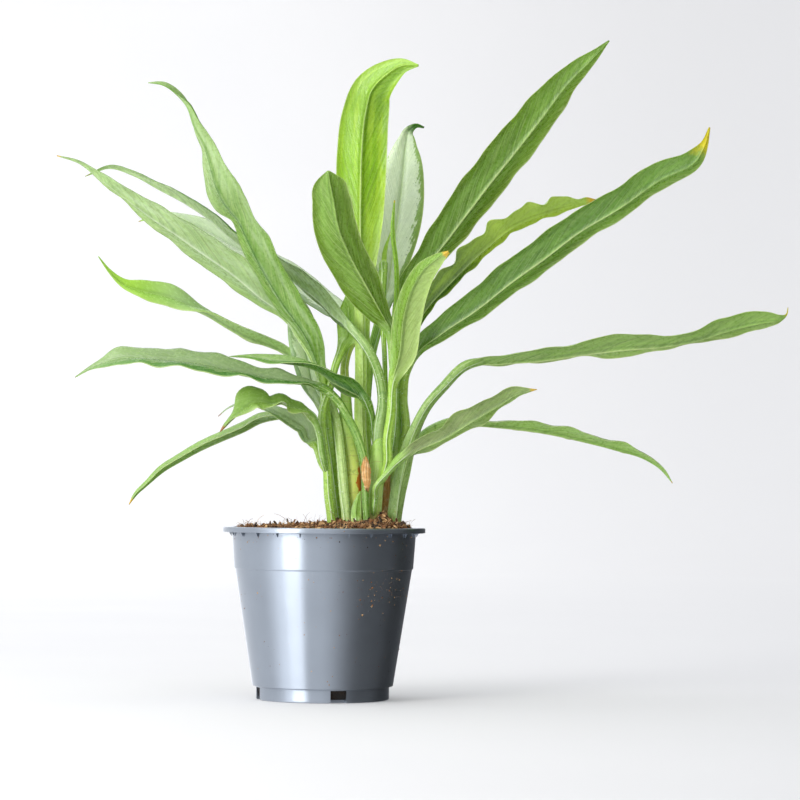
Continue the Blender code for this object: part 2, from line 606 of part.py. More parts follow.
def make_soil(parts, holes, stems):
    """A plug with round rings from the pot's floor up the inside of its wall and over the mound."""
    rings = [[place] * SOIL_STEPS for place in SOIL_WALL]
    steps = [360 / SOIL_STEPS * step for step in range(SOIL_STEPS)]
    for radius in SOIL_RINGS:
        rings.append([(radius, soil_height(radius, bearing)) for bearing in steps])
    points = []
    for ring in rings:
        for bearing, (radius, height) in zip(steps, ring):
            turn = math.radians(bearing)
            points.append((radius * math.sin(turn), -radius * math.cos(turn), height))
    faces = []
    for ring in range(len(rings) - 1):
        for step in range(SOIL_STEPS):
            a = ring * SOIL_STEPS + step
            b = ring * SOIL_STEPS + (step + 1) % SOIL_STEPS
            faces += [(a, b, b + SOIL_STEPS), (a, b + SOIL_STEPS, a + SOIL_STEPS)]
    last = (len(rings) - 1) * SOIL_STEPS
    points += [(0, 0, SOIL_WALL[0][1]), (0, 0, soil_height(0, 0))]
    for step in range(SOIL_STEPS):
        after = (step + 1) % SOIL_STEPS
        faces += [(after, step, len(points) - 2), (last + step, last + after, len(points) - 1)]
    soil = mesh_object("soil", points, faces, parts, material("Potting mix", SOIL_COLOUR, 0.95))
    for name, x, y, half in stems:
        stem_hole(name, x, y, half, holes)
    cut(soil, holes)


def main():
    for old in list(bpy.data.objects):
        bpy.data.objects.remove(old)
    parts = collection("Potted chinese evergreen")
    cutters = collection("Notch cutters", hidden=True)
    holes = collection("Stem holes", hidden=True)
    make_pot(parts, cutters)
    stems = []
    for name, stations in CANES.items():
        cane = rooted(stations)
        stems.append((name, *cane[0][:2], cane[0][3]))
        loft(name, cane, 0, 0, 0, parts, material(name, PALE, 0.45), kind="stem")
    for seed, (name, leaf) in enumerate(LEAVES.items()):
        stations = leaf_stations(leaf)
        if stations[0][2] == ROOT_HEIGHT:
            stems.append((name, *stations[0][:2], stations[0][3]))
        kind = "flat" if "flat" in leaf else "leaf"
        finish = material(name, leaf["colour"], 0.35)
        loft(name, stations, leaf["fold"], leaf["wave"], seed, parts, finish, kind)
    make_soil(parts, holes, stems)


main()
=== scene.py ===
"""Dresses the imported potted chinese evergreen: leaves, canes, soil, nursery pot and a pale studio."""

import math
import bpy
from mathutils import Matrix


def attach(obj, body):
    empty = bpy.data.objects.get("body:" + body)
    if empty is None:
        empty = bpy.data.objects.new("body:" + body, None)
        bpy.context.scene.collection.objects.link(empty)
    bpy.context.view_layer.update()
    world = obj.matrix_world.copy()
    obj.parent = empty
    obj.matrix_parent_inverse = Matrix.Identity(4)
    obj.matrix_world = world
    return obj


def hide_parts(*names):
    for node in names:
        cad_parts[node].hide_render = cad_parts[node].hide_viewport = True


bl_info = {
    "name": "Potted Chinese Evergreen",
    "version": (1, 0, 0),
    "blender": (4, 5, 0),
    "location": "3D View > Sidebar > Evergreen",
    "description": "Builds a potted chinese evergreen round its packed frame",
    "category": "Object",
}

import bpy
import numpy as np
from mathutils import Matrix, Vector

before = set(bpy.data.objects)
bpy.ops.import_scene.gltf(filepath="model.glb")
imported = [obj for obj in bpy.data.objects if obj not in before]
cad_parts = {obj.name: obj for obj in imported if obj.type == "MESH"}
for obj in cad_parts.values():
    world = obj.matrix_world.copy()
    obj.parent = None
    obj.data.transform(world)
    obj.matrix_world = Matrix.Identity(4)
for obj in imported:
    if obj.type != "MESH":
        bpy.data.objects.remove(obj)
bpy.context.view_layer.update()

MM = 0.001
UP = np.array([0, 0, 1.0])

# A stem that starts below the first height is carried straight down to the second, in the soil.
ROOTED_BELOW = 107.0
ROOT_HEIGHT = 90.0
# A stem on another starts this far below its seat, inside it, and lies clear of it by the gap from
# this far above its seat on.
SEAT_DEPTH = 5.0
SEAT_LENGTH = 8.0
GAP = 0.3
# A leaf that tops a cane starts this far below the cane's top, inside it.
TOP_DEPTH = 12.0

# Half widths in mm: below and above which a section is all stem and all blade, from which on a blade
# has its full relief, and the least one, at a tip.
ROUND_BELOW = 2.9
BLADE_ABOVE = 6.0
FULL_HALF = 9.0
TIP_HALF = 0.3
# A stem's depth as a share of its width.
STEM_ROUND = 0.95
# The mm along a margin for a radian of its long and its short wave, the long one's shift on either side
# and the shift of both from leaf to leaf in radians, and the share of a leaf's wave that is shown.
LONG_WAVE = 5.3
SHORT_WAVE = 3.1
SIDE_PHASE = 1.1
LEAF_PHASE = 1.7
WAVE_SHOWN = 0.6
# How far a side vein runs forward for each mm outward, and how much more with the square of that.
VEIN_SLANT = 2.6
VEIN_CURVE = 0.02
# The number of pleats over a blade, and their depth as a share of the half width.
PLEATS = 2.6
PLEAT_DEPTH = 0.022

# A cane's sides, the mm between its ring scars, the length in mm over which its rings lean towards its
# mouth, and how far the mouth leans.
CANE_SIDES = 48
SCAR_SPACING = 11
MOUTH_LENGTH = 14.0
MOUTH_LEAN = 3.5
# The mm between the rings of a dry sheath, and half its thickness in mm.
HUSK_SPACING = 0.35
HUSK_HALF = 0.2

# Columns across one face of a leaf, closer at the midrib and at the margins.
HALF_COLUMNS = (0.035, 0.075, 0.13, 0.21, 0.31, 0.42, 0.53, 0.64, 0.75, 0.85, 0.93, 0.98, 1.0)
COLUMNS = np.array([-c for c in reversed(HALF_COLUMNS)] + [0.0] + list(HALF_COLUMNS))

# Each station is x, y, z and half width in mm, and the turn of the upper face away from the viewer in
# degrees: 0 faces the viewer, 90 is edge on and 180 shows the underside.
CANES = {
    "cane_left": (
        (17.5, 1, 105, 4.2, 0), (17.5, 1, 116, 4.4, 0), (16.5, 3, 136, 4.8, 0),
        (13, 7, 156.5, 4.4, 0), (12, 10, 171.5, 3.9, 0), (12, 12, 179.5, 3.2, 0),
    ),
    "cane_centre": (
        (28.5, -5, 105, 5.4, 0), (29.5, -5, 121, 5.2, 0), (31.5, -6, 140, 4.6, 0),
    ),
    "cane_back": (
        (40.5, 10, 106, 4.4, 0), (40.5, 8, 124, 4.5, 0), (39.5, 6, 145, 4.4, 0), (41, 4, 158, 4, 0),
    ),
}

LEAVES = {
    "leaf_tall_lime": {
        "fold": 14, "wave": 0.8,
        "stations": (
            (24.5, 9, 105, 4.4, 180), (24.5, 9, 136, 4.6, 180), (22, 5.5, 162, 4.7, 180),
            (22, 4, 195, 4.7, 180), (21.5, 3, 219, 4.6, 180), (21.5, 0, 243, 6, 180),
            (20.5, -1, 261, 10, 180), (20, -2, 281, 13.5, 178), (20, -5, 301, 15, 178),
            (20.5, -9, 323, 15.3, 178), (22.5, -14, 345, 14.3, 180), (26.5, -20, 359, 12, 180),
            (34.5, -25, 367, 9, 180), (43.5, -29, 372, 5, 180), (53.5, -33, 372, 0.6, 180),
        ),
    },
    "leaf_silver_upright": {
        "fold": 12, "wave": 0.8,
        "stations": (
            (25.5, 18, 106, 2.6, 0), (24.5, 18, 142, 2.8, 0), (24, 16, 178, 3, 0), (27, 14, 206, 3, 0),
            (31.5, 15, 224, 3.2, 0), (36.5, 18, 245, 6.5, 0), (39, 22, 265, 12, 0),
            (42, 27, 288, 15, 0), (44.2, 32, 307, 14, 0), (45.8, 38, 325, 10.4, 0), (47, 42, 335.5, 6, 8),
            (48.5, 44, 342.5, 3, 20), (53, 45, 345.5, 1.5, 30), (57.5, 46, 344.5, 0.6, 30),
        ),
    },
    "leaf_spike": {
        "fold": 30, "wave": 0,
        "seat": ("cane_back", 150, -62),
        "stations": (
            (38, -1, 177, 1.8, 180), (40.5, -2, 198, 1.8, 180), (41.5, -3.5, 225, 1.8, 180),
            (41.5, -4.5, 255, 1.7, 180), (39, 0, 280, 1.5, 180), (40, 2, 296, 0.5, 180),
        ),
    },
    "leaf_young_curl": {
        "fold": 30, "wave": 0,
        "seat": ("cane_back", 146, -130),
        "stations": (
            (35, 4, 201, 1.5, 150), (33.5, 4, 231, 1.8, 150), (33.5, 7, 254, 2.8, 140),
            (34, 9, 264, 2.8, 120), (38, 11, 278, 0.5, 110),
        ),
    },
    "leaf_front_left": {
        "fold": 22, "wave": 0.8,
        "seat": ("cane_back", 146, -5),
        "stations": (
            (41, -5, 177, 2.4, 180), (40, -7, 198, 2.4, 185), (37.5, -11, 218, 3.5, 190),
            (30.5, -20, 230, 9, 195), (22.5, -29, 243, 13, 198), (13.5, -38, 258.5, 14, 200),
            (7, -48, 273.5, 14.3, 200), (4, -58, 290.5, 12.3, 195), (2.3, -65, 301.5, 8, 192),
            (2, -68, 306.5, 0.6, 190),
        ),
    },
    "leaf_upper_right": {
        "fold": 14, "wave": 1.0,
        "stations": (
            (40.5, 4, 159, 2.6, 200), (41, 5, 189, 2.8, 205), (41.5, 5, 216, 3.2, 215),
            (45.5, 2.5, 242, 6, 225), (61.5, -4, 262, 11.5, 225), (79, -12, 285.5, 15.5, 225),
            (94, -18, 305.5, 16.5, 225), (108.5, -24, 323.5, 16.2, 225), (123.5, -30, 342.5, 14.8, 225),
            (140.5, -36, 364, 10, 225), (153.5, -40, 376, 5, 225), (164, -44, 386, 0.6, 225),
        ),
    },
    "leaf_ruffled": {
        "fold": 16, "wave": 2.3, "pace": 1.45, "lobed": -0.55,
        "seat": ("cane_back", 149, 140),
        "stations": (
            (45, 11, 183, 2.3, 205), (47.5, 12, 207, 3, 215), (56.5, 14, 230, 7, 232),
            (74.5, 19, 252, 10.5, 235), (94, 26, 271.5, 11.5, 236), (111, 33, 285, 10.5, 238),
            (127, 41, 292.5, 9.6, 238), (144, 49, 298, 7.6, 238), (164, 56, 302, 0.6, 235),
        ),
    },
    "leaf_front_curled": {
        "fold": 32, "wave": 0.5,
        "seat": ("cane_centre", 131, 50),
        "stations": (
            (37, -13, 153, 2.8, 175), (39, -15, 168, 2.7, 170), (40, -17, 186, 3, 165),
            (45, -21, 203, 9.5, 160), (47.5, -28, 224, 10.5, 158), (51.5, -36, 239, 10, 158),
            (57.5, -45, 250, 8, 160), (65.5, -55, 257, 4.5, 165), (71.5, -61, 261, 0.9, 170),
        ),
    },
    "leaf_right": {
        "fold": 14, "wave": 0.8,
        "seat": ("cane_back", 149, 78),
        "stations": (
            (46.5, 3, 180, 2.5, 205), (48, 0, 195, 3, 215), (54.5, -6, 207, 6, 225),
            (66.5, -12, 217, 9.5, 228), (87.5, -21, 231.5, 12.5, 230), (107.5, -29, 247.5, 14, 230),
            (125.5, -36, 260.5, 14.5, 230), (146, -43, 276, 14, 230), (168, -50, 289, 13, 230),
            (192, -57, 305.5, 11.5, 230), (213, -63, 316.5, 7.5, 225), (217.5, -65, 323.5, 3, 215),
            (220.5, -66, 333.5, 0.6, 210),
        ),
    },
    "leaf_long_right": {
        "fold": 12, "wave": 0.9,
        "stations": (
            (41.5, -1, 105, 4.7, 200), (43.5, -2, 121, 4.9, 200), (46.5, -3.5, 136, 5.2, 205),
            (50, -5, 150, 4.8, 210), (54, -5.5, 161, 3.9, 215), (60, -6.5, 173, 3.3, 222),
            (70, -8, 185, 2.9, 230), (83, -10, 197.5, 3.6, 245), (103, -12, 200.5, 8, 250),
            (127, -15, 203, 12, 252), (149.5, -17, 206.5, 12.5, 252), (175.5, -20, 209.5, 13.5, 240),
            (199.5, -22, 211.5, 10, 250), (219.5, -24, 215.3, 9.4, 246), (233, -25.5, 219.8, 11, 238),
            (246, -27, 223.2, 10.6, 234), (258, -28.5, 225.2, 7.4, 234), (266, -29, 226, 3.8, 238),
            (269.5, -29, 228, 1.4, 244), (270.5, -29, 232.5, 0.5, 250),
        ),
    },
    "leaf_short_right": {
        "fold": 14, "wave": 2.0,
        "seat": ("cane_centre", 112, 6),
        "stations": (
            (30.5, -16.5, 125, 1.9, 210), (36.5, -19, 133, 2, 220), (44.5, -23, 142, 3, 230),
            (56, -28, 149, 6.5, 233), (70, -34, 156, 9, 235), (85, -41, 165.5, 10.5, 233),
            (100, -48, 174.5, 9.5, 238), (113, -54, 181.5, 5.5, 245), (123, -58, 182.5, 0.5, 250),
        ),
    },
    "leaf_far_right": {
        "fold": 12, "wave": 1.7,
        "seat": ("cane_back", 118, 150),
        "stations": (
            (45, 13.5, 136, 2.1, 210), (50.5, 16, 148, 2.2, 220), (58.5, 20, 157.5, 2.3, 235),
            (73, 27, 164.5, 3, 250), (91, 34, 164.5, 6.5, 257), (115, 42, 163.5, 10, 258),
            (136, 49, 161, 12, 255), (156, 56, 157, 11.5, 262), (176, 62, 152, 10, 258),
            (195.5, 68, 145.5, 6.5, 262), (205.5, 71, 138.5, 3.5, 262), (212.5, 73, 129.5, 0.5, 262),
        ),
    },
    "leaf_upper_left": {
        "fold": 14, "wave": 0.7,
        "stations": (
            (8.5, 2, 104.5, 2.4, 150), (6.5, 2, 120.5, 2.5, 150), (4.5, 2, 138.5, 2.6, 150),
            (2, 2, 156.5, 2.7, 150), (0, 2.5, 174.5, 2.8, 145), (-1.5, 3, 187.5, 3.2, 140),
            (-4, 0.5, 199.5, 6, 130), (-9.5, -6, 214.5, 11, 126), (-23, -12, 234.5, 14.5, 124),
            (-34, -18, 252.5, 15.5, 123), (-43, -23.5, 270, 15.5, 123), (-49.8, -27.5, 282.6, 12.5, 122),
            (-56.5, -31, 290.5, 15, 129), (-61, -34.5, 299, 15.5, 130), (-65, -38, 311, 12.2, 128),
            (-68, -42, 321, 8.5, 121), (-74.6, -46.5, 333.7, 7.6, 112),
            (-79.5, -51, 346, 6, 92), (-85.5, -53, 352, 4.5, 70), (-93.5, -55, 357, 3, 62),
            (-102.5, -57, 357.5, 0.5, 60),
        ),
    },
    "leaf_long_left": {
        "fold": 12, "wave": 0.8,
        "stations": (
            (13.5, -6, 105.5, 3, 160), (11.5, -5, 123.5, 3.1, 160), (9.5, -3, 144.5, 3, 155),
            (7, 3.5, 162.5, 2.8, 150), (3, 8.5, 175.5, 2.8, 145), (-2, 10.5, 188.5, 2.8, 140),
            (-7, 11.5, 201.5, 2.8, 136), (-15.5, 12, 215.5, 3.2, 132), (-23.5, 12, 227.5, 6, 128),
            (-38.5, 10, 239.5, 12, 128), (-54.5, 7, 253, 15, 128), (-72, 3, 265, 15, 126),
            (-88, -2, 276, 14, 123), (-104, -7, 286.5, 12, 120), (-118, -12, 296.5, 9, 115),
            (-133, -18, 306.5, 5.5, 112), (-145, -23, 314.5, 2.5, 110), (-158, -27, 318, 0.5, 110),
        ),
    },
    "leaf_folded_left": {
        "fold": 14, "wave": 0.5,
        "stations": (
            (31.5, -6, 141, 4, 160), (32, -6, 160, 3.6, 160), (34, -5, 177, 3.2, 155),
            (31, -6, 194, 3, 145), (24.5, -7, 208, 3.1, 130), (15.5, -4, 219, 4, 120),
            (6.5, 4, 227.5, 9, 114), (-4.5, 12, 239.5, 12, 112), (-14.5, 17, 247.5, 13, 110),
            (-25.5, 21, 255.5, 13, 105), (-40, 25, 265.5, 12.5, 98), (-53, 28, 274, 12, 94),
            (-70, 31, 288, 11, 94), (-87, 34, 299, 10, 94), (-102, 37, 306.5, 8, 94),
            (-118, 39, 314.5, 6, 92), (-133, 41, 318.5, 4, 92), (-148, 41, 312.5, 0.5, 92),
        ),
    },
    "leaf_pale_back": {
        "fold": 12, "wave": 0.7,
        "stations": (
            (12, 12.5, 180.4, 3, 40), (11, 16, 198, 2.6, 40), (13, 21, 208, 2.8, 42), (16, 27, 216, 4, 45),
            (12, 35, 226, 8, 50), (1, 42, 235, 11, 50), (-15, 50, 247, 13, 50), (-31, 54, 258, 13, 50),
            (-47, 57, 267, 12, 50), (-60, 59, 274, 11, 50), (-76, 61, 283, 9.5, 52),
            (-91, 62, 289, 7, 55), (-103, 62, 291, 4, 58), (-117, 62, 287, 0.5, 60),
        ),
    },
    "leaf_twisting_left": {
        "fold": 12, "wave": 0.6,
        "stations": (
            (9.5, 10, 103.5, 2.2, 130), (8.5, 12, 123.5, 2.2, 130), (5.5, 16, 144.5, 2.2, 128),
            (1, 20, 165.5, 2.3, 125), (-4, 23, 182.5, 2.4, 122), (-11, 25, 195.5, 2.8, 118),
            (-21, 25, 204.5, 6, 112), (-32.5, 22, 210.5, 9, 108), (-45.5, 15, 215, 11, 105),
            (-58.5, 8, 222, 11, 98), (-69.5, 2, 228.5, 11, 88), (-80.5, -4, 233, 11, 66),
            (-92.5, -9, 237.5, 10, 46), (-105.5, -14, 240, 8.6, 42), (-118, -18, 243.5, 4.4, 50),
            (-127.5, -20, 251.5, 2, 60), (-133.5, -21, 259.5, 0.5, 60),
        ),
    },
    "leaf_level_left": {
        "fold": 12, "wave": 2.1,
        "stations": (
            (25.5, -14, 105, 2, 130), (24.5, -14, 118, 2.1, 130), (24.5, -14, 130, 2.4, 130),
            (22.5, -14, 145, 2.6, 125), (18, -14, 158, 2.6, 115), (13, -14, 167.5, 2.6, 105),
            (8, -15, 175.5, 2.7, 92), (0, -17, 182.5, 3.2, 80), (-9, -19, 186.5, 6.5, 72),
            (-18, -21, 188, 9.5, 70), (-32, -23, 190, 12, 69), (-46, -24, 192.5, 13, 67),
            (-60, -25, 195.5, 13.5, 65), (-74, -25, 198.5, 13.5, 60), (-89, -24, 199.5, 12.5, 65),
            (-103, -22, 201, 11.5, 63), (-118, -20, 201, 9, 50), (-132, -18, 197, 4.5, 55),
            (-147, -16, 188.5, 0.5, 60),
        ),
    },
    "leaf_above_level": {
        "fold": 12, "wave": 0.8,
        "stations": (
            (30.5, 3, 106, 2, 150), (31.5, 2.5, 124, 2, 150), (31.5, 2.5, 142, 2, 150),
            (29, 1, 157, 2.1, 145), (27, -2, 170, 2.4, 138), (23, -8, 178, 4, 130),
            (15, -12, 183.5, 8.5, 125), (6, -14, 188.5, 9.5, 112), (-2, -15, 194.5, 9.5, 96),
            (-12, -13, 198.5, 9, 82), (-21, -11, 199.5, 8, 72), (-32, -9, 200.5, 7, 66),
            (-44, -6, 202, 4, 66), (-57, -5, 202, 0.5, 70),
        ),
    },
    "leaf_crumpled": {
        "fold": 16, "wave": 3.2,
        "seat": ("leaf_young_lime", 138, -20),
        "stations": (
            (-3, -11, 155.5, 2.2, 105), (-6, -13, 164.5, 2.6, 90), (-12, -16, 170.5, 5.4, 78),
            (-19, -19, 173.5, 8.6, 68), (-25, -21.5, 176, 9.6, 60), (-31, -24, 174.8, 8.8, 60),
            (-36.5, -26, 176.2, 11, 55), (-42, -28, 175.6, 11.8, 52), (-46.5, -30, 172, 9, 55),
            (-52, -32.5, 167, 5.6, 60), (-60, -36, 157, 0.6, 65),
        ),
    },
    "leaf_under_crumpled": {
        "fold": 12, "wave": 0.6,
        "seat": ("leaf_young_lime", 138, -115),
        "stations": (
            (-5.5, -3, 149, 2, 55), (-9, -1, 153.5, 7, 48), (-11.5, 0, 160.5, 8.5, 45),
            (-19.5, 2, 165.5, 7.5, 50), (-30.5, 5, 170.5, 5.5, 55), (-39.5, 9, 173.5, 3.5, 60),
            (-49.5, 13, 175, 2.2, 65), (-58.5, 16, 172, 1.2, 70), (-64.5, 18, 167, 0.5, 70),
        ),
    },
    "leaf_low_narrow": {
        "fold": 22, "wave": 0.15,
        "stations": (
            (5.5, 17, 104.5, 2.2, 110), (2.5, 18, 123.5, 2.2, 108), (-0.5, 18, 144.5, 2.2, 104),
            (-5, 18, 161.5, 2.4, 96), (-16, 20, 168.5, 4.5, 84), (-28, 24, 168.5, 8, 80),
            (-40, 29, 166.5, 10, 78), (-51, 34, 161, 10, 78), (-65, 39, 155, 9.5, 78),
            (-76, 43, 150, 9, 78), (-88.5, 47, 143, 8, 78), (-100.5, 50, 135.5, 7, 78),
            (-109.5, 53, 127, 4.6, 76), (-117, 55, 119.5, 3, 76), (-120.5, 56, 113.5, 0.6, 76),
        ),
    },
    "leaf_pale_blade": {
        "fold": 12, "wave": 0.6,
        "stations": (
            (12.5, 5, 104.5, 2, 20), (9.5, 8, 123.5, 2, 20), (5.5, 10, 144.5, 2.2, 18),
            (1, 13, 162.5, 2.4, 15), (-3, 16, 176.5, 4.5, 12), (-8, 17, 188.5, 8, 12),
            (-11, 17, 202.5, 10, 14), (-14.5, 22, 218.5, 9.5, 16), (-17.5, 25, 232.5, 6.5, 18),
            (-20.5, 28, 243.5, 0.6, 20),
        ),
    },
    "leaf_young_lime": {
        "fold": 12, "wave": 0.4,
        "stations": (
            (4.5, -6, 104.5, 2.7, 150), (2.5, -6, 120.5, 2.7, 150), (1.5, -6, 136.5, 2.6, 150),
            (-1, -5, 153.5, 2.5, 145), (-1.5, -4, 169.5, 2.4, 140), (2.5, -3.5, 183, 2.3, 150),
            (6, -1, 197.5, 2.3, 160), (9.5, 8, 207.5, 3.2, 165), (13.5, 14, 218.5, 7.5, 170),
            (13.5, 18, 229.5, 7.5, 172), (11.5, 21, 240.5, 0.5, 175),
        ),
    },
    "shoot_small": {
        "fold": 20, "wave": 0,
        "stations": (
            (19.5, -11, 103, 3.2, 180), (19, -11, 112, 3.2, 175), (20, -10, 118, 2, 170),
            (21.5, -9.5, 123, 0.5, 165),
        ),
    },
}

# Each cane closes round the foot of the leaf that tops it, up to this station.
CANE_TOPS = {
    "cane_left": (11.5, 14.2, 189, 3.0, 0), "cane_centre": (31.8, -6, 151, 3.95, 0),
    "cane_back": (40.7, 4.3, 168, 2.85, 0),
}

# The dry sheath on the stem of leaf_level_left.
HUSK = (
    (25.6, -17.5, 124, 1.2, 0), (25.2, -17.5, 128.5, 2.2, 0), (24.6, -17.5, 134, 2.9, 0),
    (24.5, -18, 138.5, 2.4, 0), (24.2, -18, 142.5, 1.2, 0),
)

# An older dry sheath between the middle and the back cane.
OLD_SHEATH = (
    (35.6, 3, 98, 2.4, 0), (35.8, 3, 108, 2.6, 0), (36.4, 3, 119, 2.4, 0), (37.4, 1, 131, 1.6, 0),
    (38.2, -1, 138, 0.6, 0),
)

# The pot's wall as (radius, height) in mm, from the floor up the inside, over the lip and down outside,
# and how far before a corner its rounding starts.
POT_PROFILE = (
    (0.4, 1.6), (38.1, 1.6), (38.1, 8.4), (40.4, 9.2), (51.1, 76.4), (51.8, 77.4), (53.4, 99.6),
    (53.4, 101.5), (59.4, 101.5), (60.0, 100.9), (60.0, 98.4), (58.8, 98.4), (58.8, 100.2),
    (54.8, 100.2), (54.6, 99.8), (53.0, 77.2), (52.3, 76.6), (41.6, 8.0), (39.35, 7.6), (39.35, 0.6),
    (38.9, 0.0), (0.4, 0.0),
)
POT_ROUNDING = 0.45
# The boxes that cut the drain notches and that make the ribs below the rim: their size in mm, their
# centre before the turn to each bearing, the bearings of the notches and of the first rib in degrees,
# and the share of a rib's depth that is left at its lower end.
NOTCH_SIZE = (9.5, 10, 14.4)
NOTCH_CENTRE = (0, -39, 0)
NOTCH_BEARINGS = (15, 105, 195, 285)
RIB_SIZE = (0.6, 2.6, 3.8)
RIB_CENTRE = (0, -55.9, 97.9)
RIB_START = 1.5
RIB_TAPER = 0.1
# A grain has four corners round it, then an outer and an inner one.
GRAIN_FACES = ((0, 1, 4), (1, 2, 4), (2, 3, 4), (3, 0, 4), (1, 0, 5), (2, 1, 5), (3, 2, 5), (0, 3, 5))

# The soil's side as (radius, height), then the radius and level of its top at the pot's wall, in mm.
SOIL_WALL = ((37.6, 2.0), (50.6, 70.0), (52.9, 97.0))
SOIL_RADIUS = 53.0
SOIL_LEVEL = 99.6
# The bearings in degrees of the mound's higher side and of the heap of chips on it.
LIFTED_BEARING = 75
HEAP_BEARING = 66
# Where a clump of bark lies against the foot of the thick stem, in mm.
CLUMP = (35.0, -8.5, 102.0)
# How deep a fibre's foot lies in the soil, and how far from the pot's axis a fibre may reach, in mm.
FIBRE_SUNK = 0.6
FIBRE_REACH = 56.0

# The sweep in metres: the radius of its flat floor, that of its bend, how high its wall ends and how far
# the floor lies below the pot. Then its sides.
SWEEP_FLOOR = 2.6
SWEEP_CORNER = 1.2
SWEEP_WALL = 2.6
SWEEP_BELOW = 0.0002
SWEEP_SIDES = 128
# Where the camera stands beside the pot's axis and above the floor in metres, its tilt and its roll in
# degrees, and the point in metres that the lights face.
CAMERA_SIDE = 0.0443
CAMERA_HEIGHT = 0.127
CAMERA_TILT = 91.52
CAMERA_ROLL = 0.5
LIGHTS_AIM = (0.03, 0, 0.18)

# Colours as a viewer sees them, 0 to 255.
PAINTS = {
    "lime": (122, 170, 14), "lemon": (164, 206, 76), "bright": (102, 154, 24), "leek": (158, 204, 70),
    "green": (100, 144, 46), "moss": (104, 144, 34), "fresh": (144, 188, 84), "sage": (130, 164, 82),
    "celery": (164, 194, 134), "deep": (58, 106, 36), "dark": (50, 94, 12), "pale": (190, 216, 132),
    "acid": (184, 220, 62), "fern": (100, 138, 26), "dusk": (126, 148, 102),
    "silver": (194, 212, 178), "frost": (222, 234, 208), "grey": (142, 168, 112), "rib": (200, 220, 148),
    "stem": (166, 202, 82), "butter": (218, 228, 116), "brown": (146, 92, 34), "straw": (204, 168, 52),
    "yellow": (208, 196, 36), "purple": (128, 116, 100), "olive": (116, 142, 56), "rust": (196, 104, 32),
}

# For each leaf: its underside, its upper face, its stem, which half is painted lighter or darker with which
# paint and how much, as painted light and shade across its fold and in places the leaf's own tint, and the
# paint and length in mm of its withered tip.
LOOKS = {
    "leaf_tall_lime": ("lime", "bright", "pale", (-1, "lemon", 0.18), ("leek", 0)),
    "leaf_silver_upright": ("green", "frost", "fresh", (-1, "frost", 0.15), ("deep", 14)),
    "leaf_spike": ("bright", "bright", "bright", (1, "leek", 0.4), ("yellow", 2)),
    "leaf_young_curl": ("lemon", "lemon", "lemon", (1, "acid", 0.4), ("yellow", 2)),
    "leaf_front_left": ("fern", "grey", "fresh", (-1, "fern", 0.2), ("moss", 0)),
    "leaf_upper_right": ("moss", "grey", "stem", (-1, "deep", 0.2), ("fresh", 0)),
    "leaf_ruffled": ("acid", "bright", "fresh", (-1, "pale", 0.35), ("straw", 8)),
    "leaf_front_curled": ("moss", "grey", "lemon", (1, "pale", 0.6), ("straw", 5)),
    "leaf_right": ("green", "grey", "stem", (-1, "deep", 0.3), ("yellow", 19)),
    "leaf_long_right": ("sage", "green", "sage", (-1, "green", 0.2), ("yellow", 7)),
    "leaf_short_right": ("sage", "grey", "fresh", (-1, "purple", 0.35), ("straw", 5)),
    "leaf_far_right": ("fresh", "grey", "fresh", (1, "fresh", 0.3), ("straw", 2)),
    "leaf_upper_left": ("celery", "grey", "lemon", (1, "sage", 0.3), ("green", 0)),
    "leaf_long_left": ("celery", "grey", "pale", (-1, "fresh", 0.2), ("straw", 3)),
    "leaf_folded_left": ("celery", "deep", "sage", (-1, "deep", 0.4), ("fresh", 12)),
    "leaf_pale_back": ("celery", "silver", "butter", (1, "frost", 0.3), ("fresh", 6)),
    "leaf_twisting_left": ("sage", "leek", "fresh", (1, "fresh", 0.45), ("fresh", 0)),
    "leaf_level_left": ("green", "dusk", "green", (1, "deep", 0.3), ("green", 3)),
    "leaf_above_level": ("deep", "grey", "green", (1, "deep", 0.5), ("green", 0)),
    "leaf_crumpled": ("olive", "sage", "sage", (1, "olive", 0.3), ("brown", 5)),
    "leaf_under_crumpled": ("green", "silver", "stem", (1, "silver", 0.3), ("brown", 4)),
    "leaf_low_narrow": ("green", "sage", "lemon", (1, "green", 0.3), ("straw", 5)),
    "leaf_pale_blade": ("celery", "silver", "pale", (1, "frost", 0.2), ("fresh", 0)),
    "leaf_young_lime": ("leek", "bright", "lemon", (1, "pale", 0.3), ("leek", 0)),
    "shoot_small": ("fresh", "fresh", "pale", (1, "stem", 0.3), ("fresh", 0)),
}

# The paint that a leaf turns to away from its tip, and over which distances in mm from the tip.
FADES = {
    "leaf_tall_lime": ("stem", 85, 150), "leaf_upper_left": ("green", 40, 125),
    "leaf_twisting_left": ("celery", 25, 62), "leaf_ruffled": ("dark", 70, 108),
}

# The leaves whose upper face carries a silver middle inside a speckled green margin.
SILVERED = (
    "leaf_silver_upright", "leaf_pale_back", "leaf_level_left", "leaf_above_level",
    "leaf_under_crumpled", "leaf_pale_blade", "leaf_folded_left", "leaf_upper_left",
    "leaf_long_left", "leaf_front_left", "leaf_upper_right", "leaf_right", "leaf_far_right",
)
# The paints of a lime green underside.
LIMY = ("lime", "acid", "lemon", "bright")


def linear(name, share=1.0):
    """A paint's colour as Blender's linear values, lighter or darker by share."""
    return tuple(min(1.0, share * (value / 255) ** 2.2) for value in PAINTS[name])


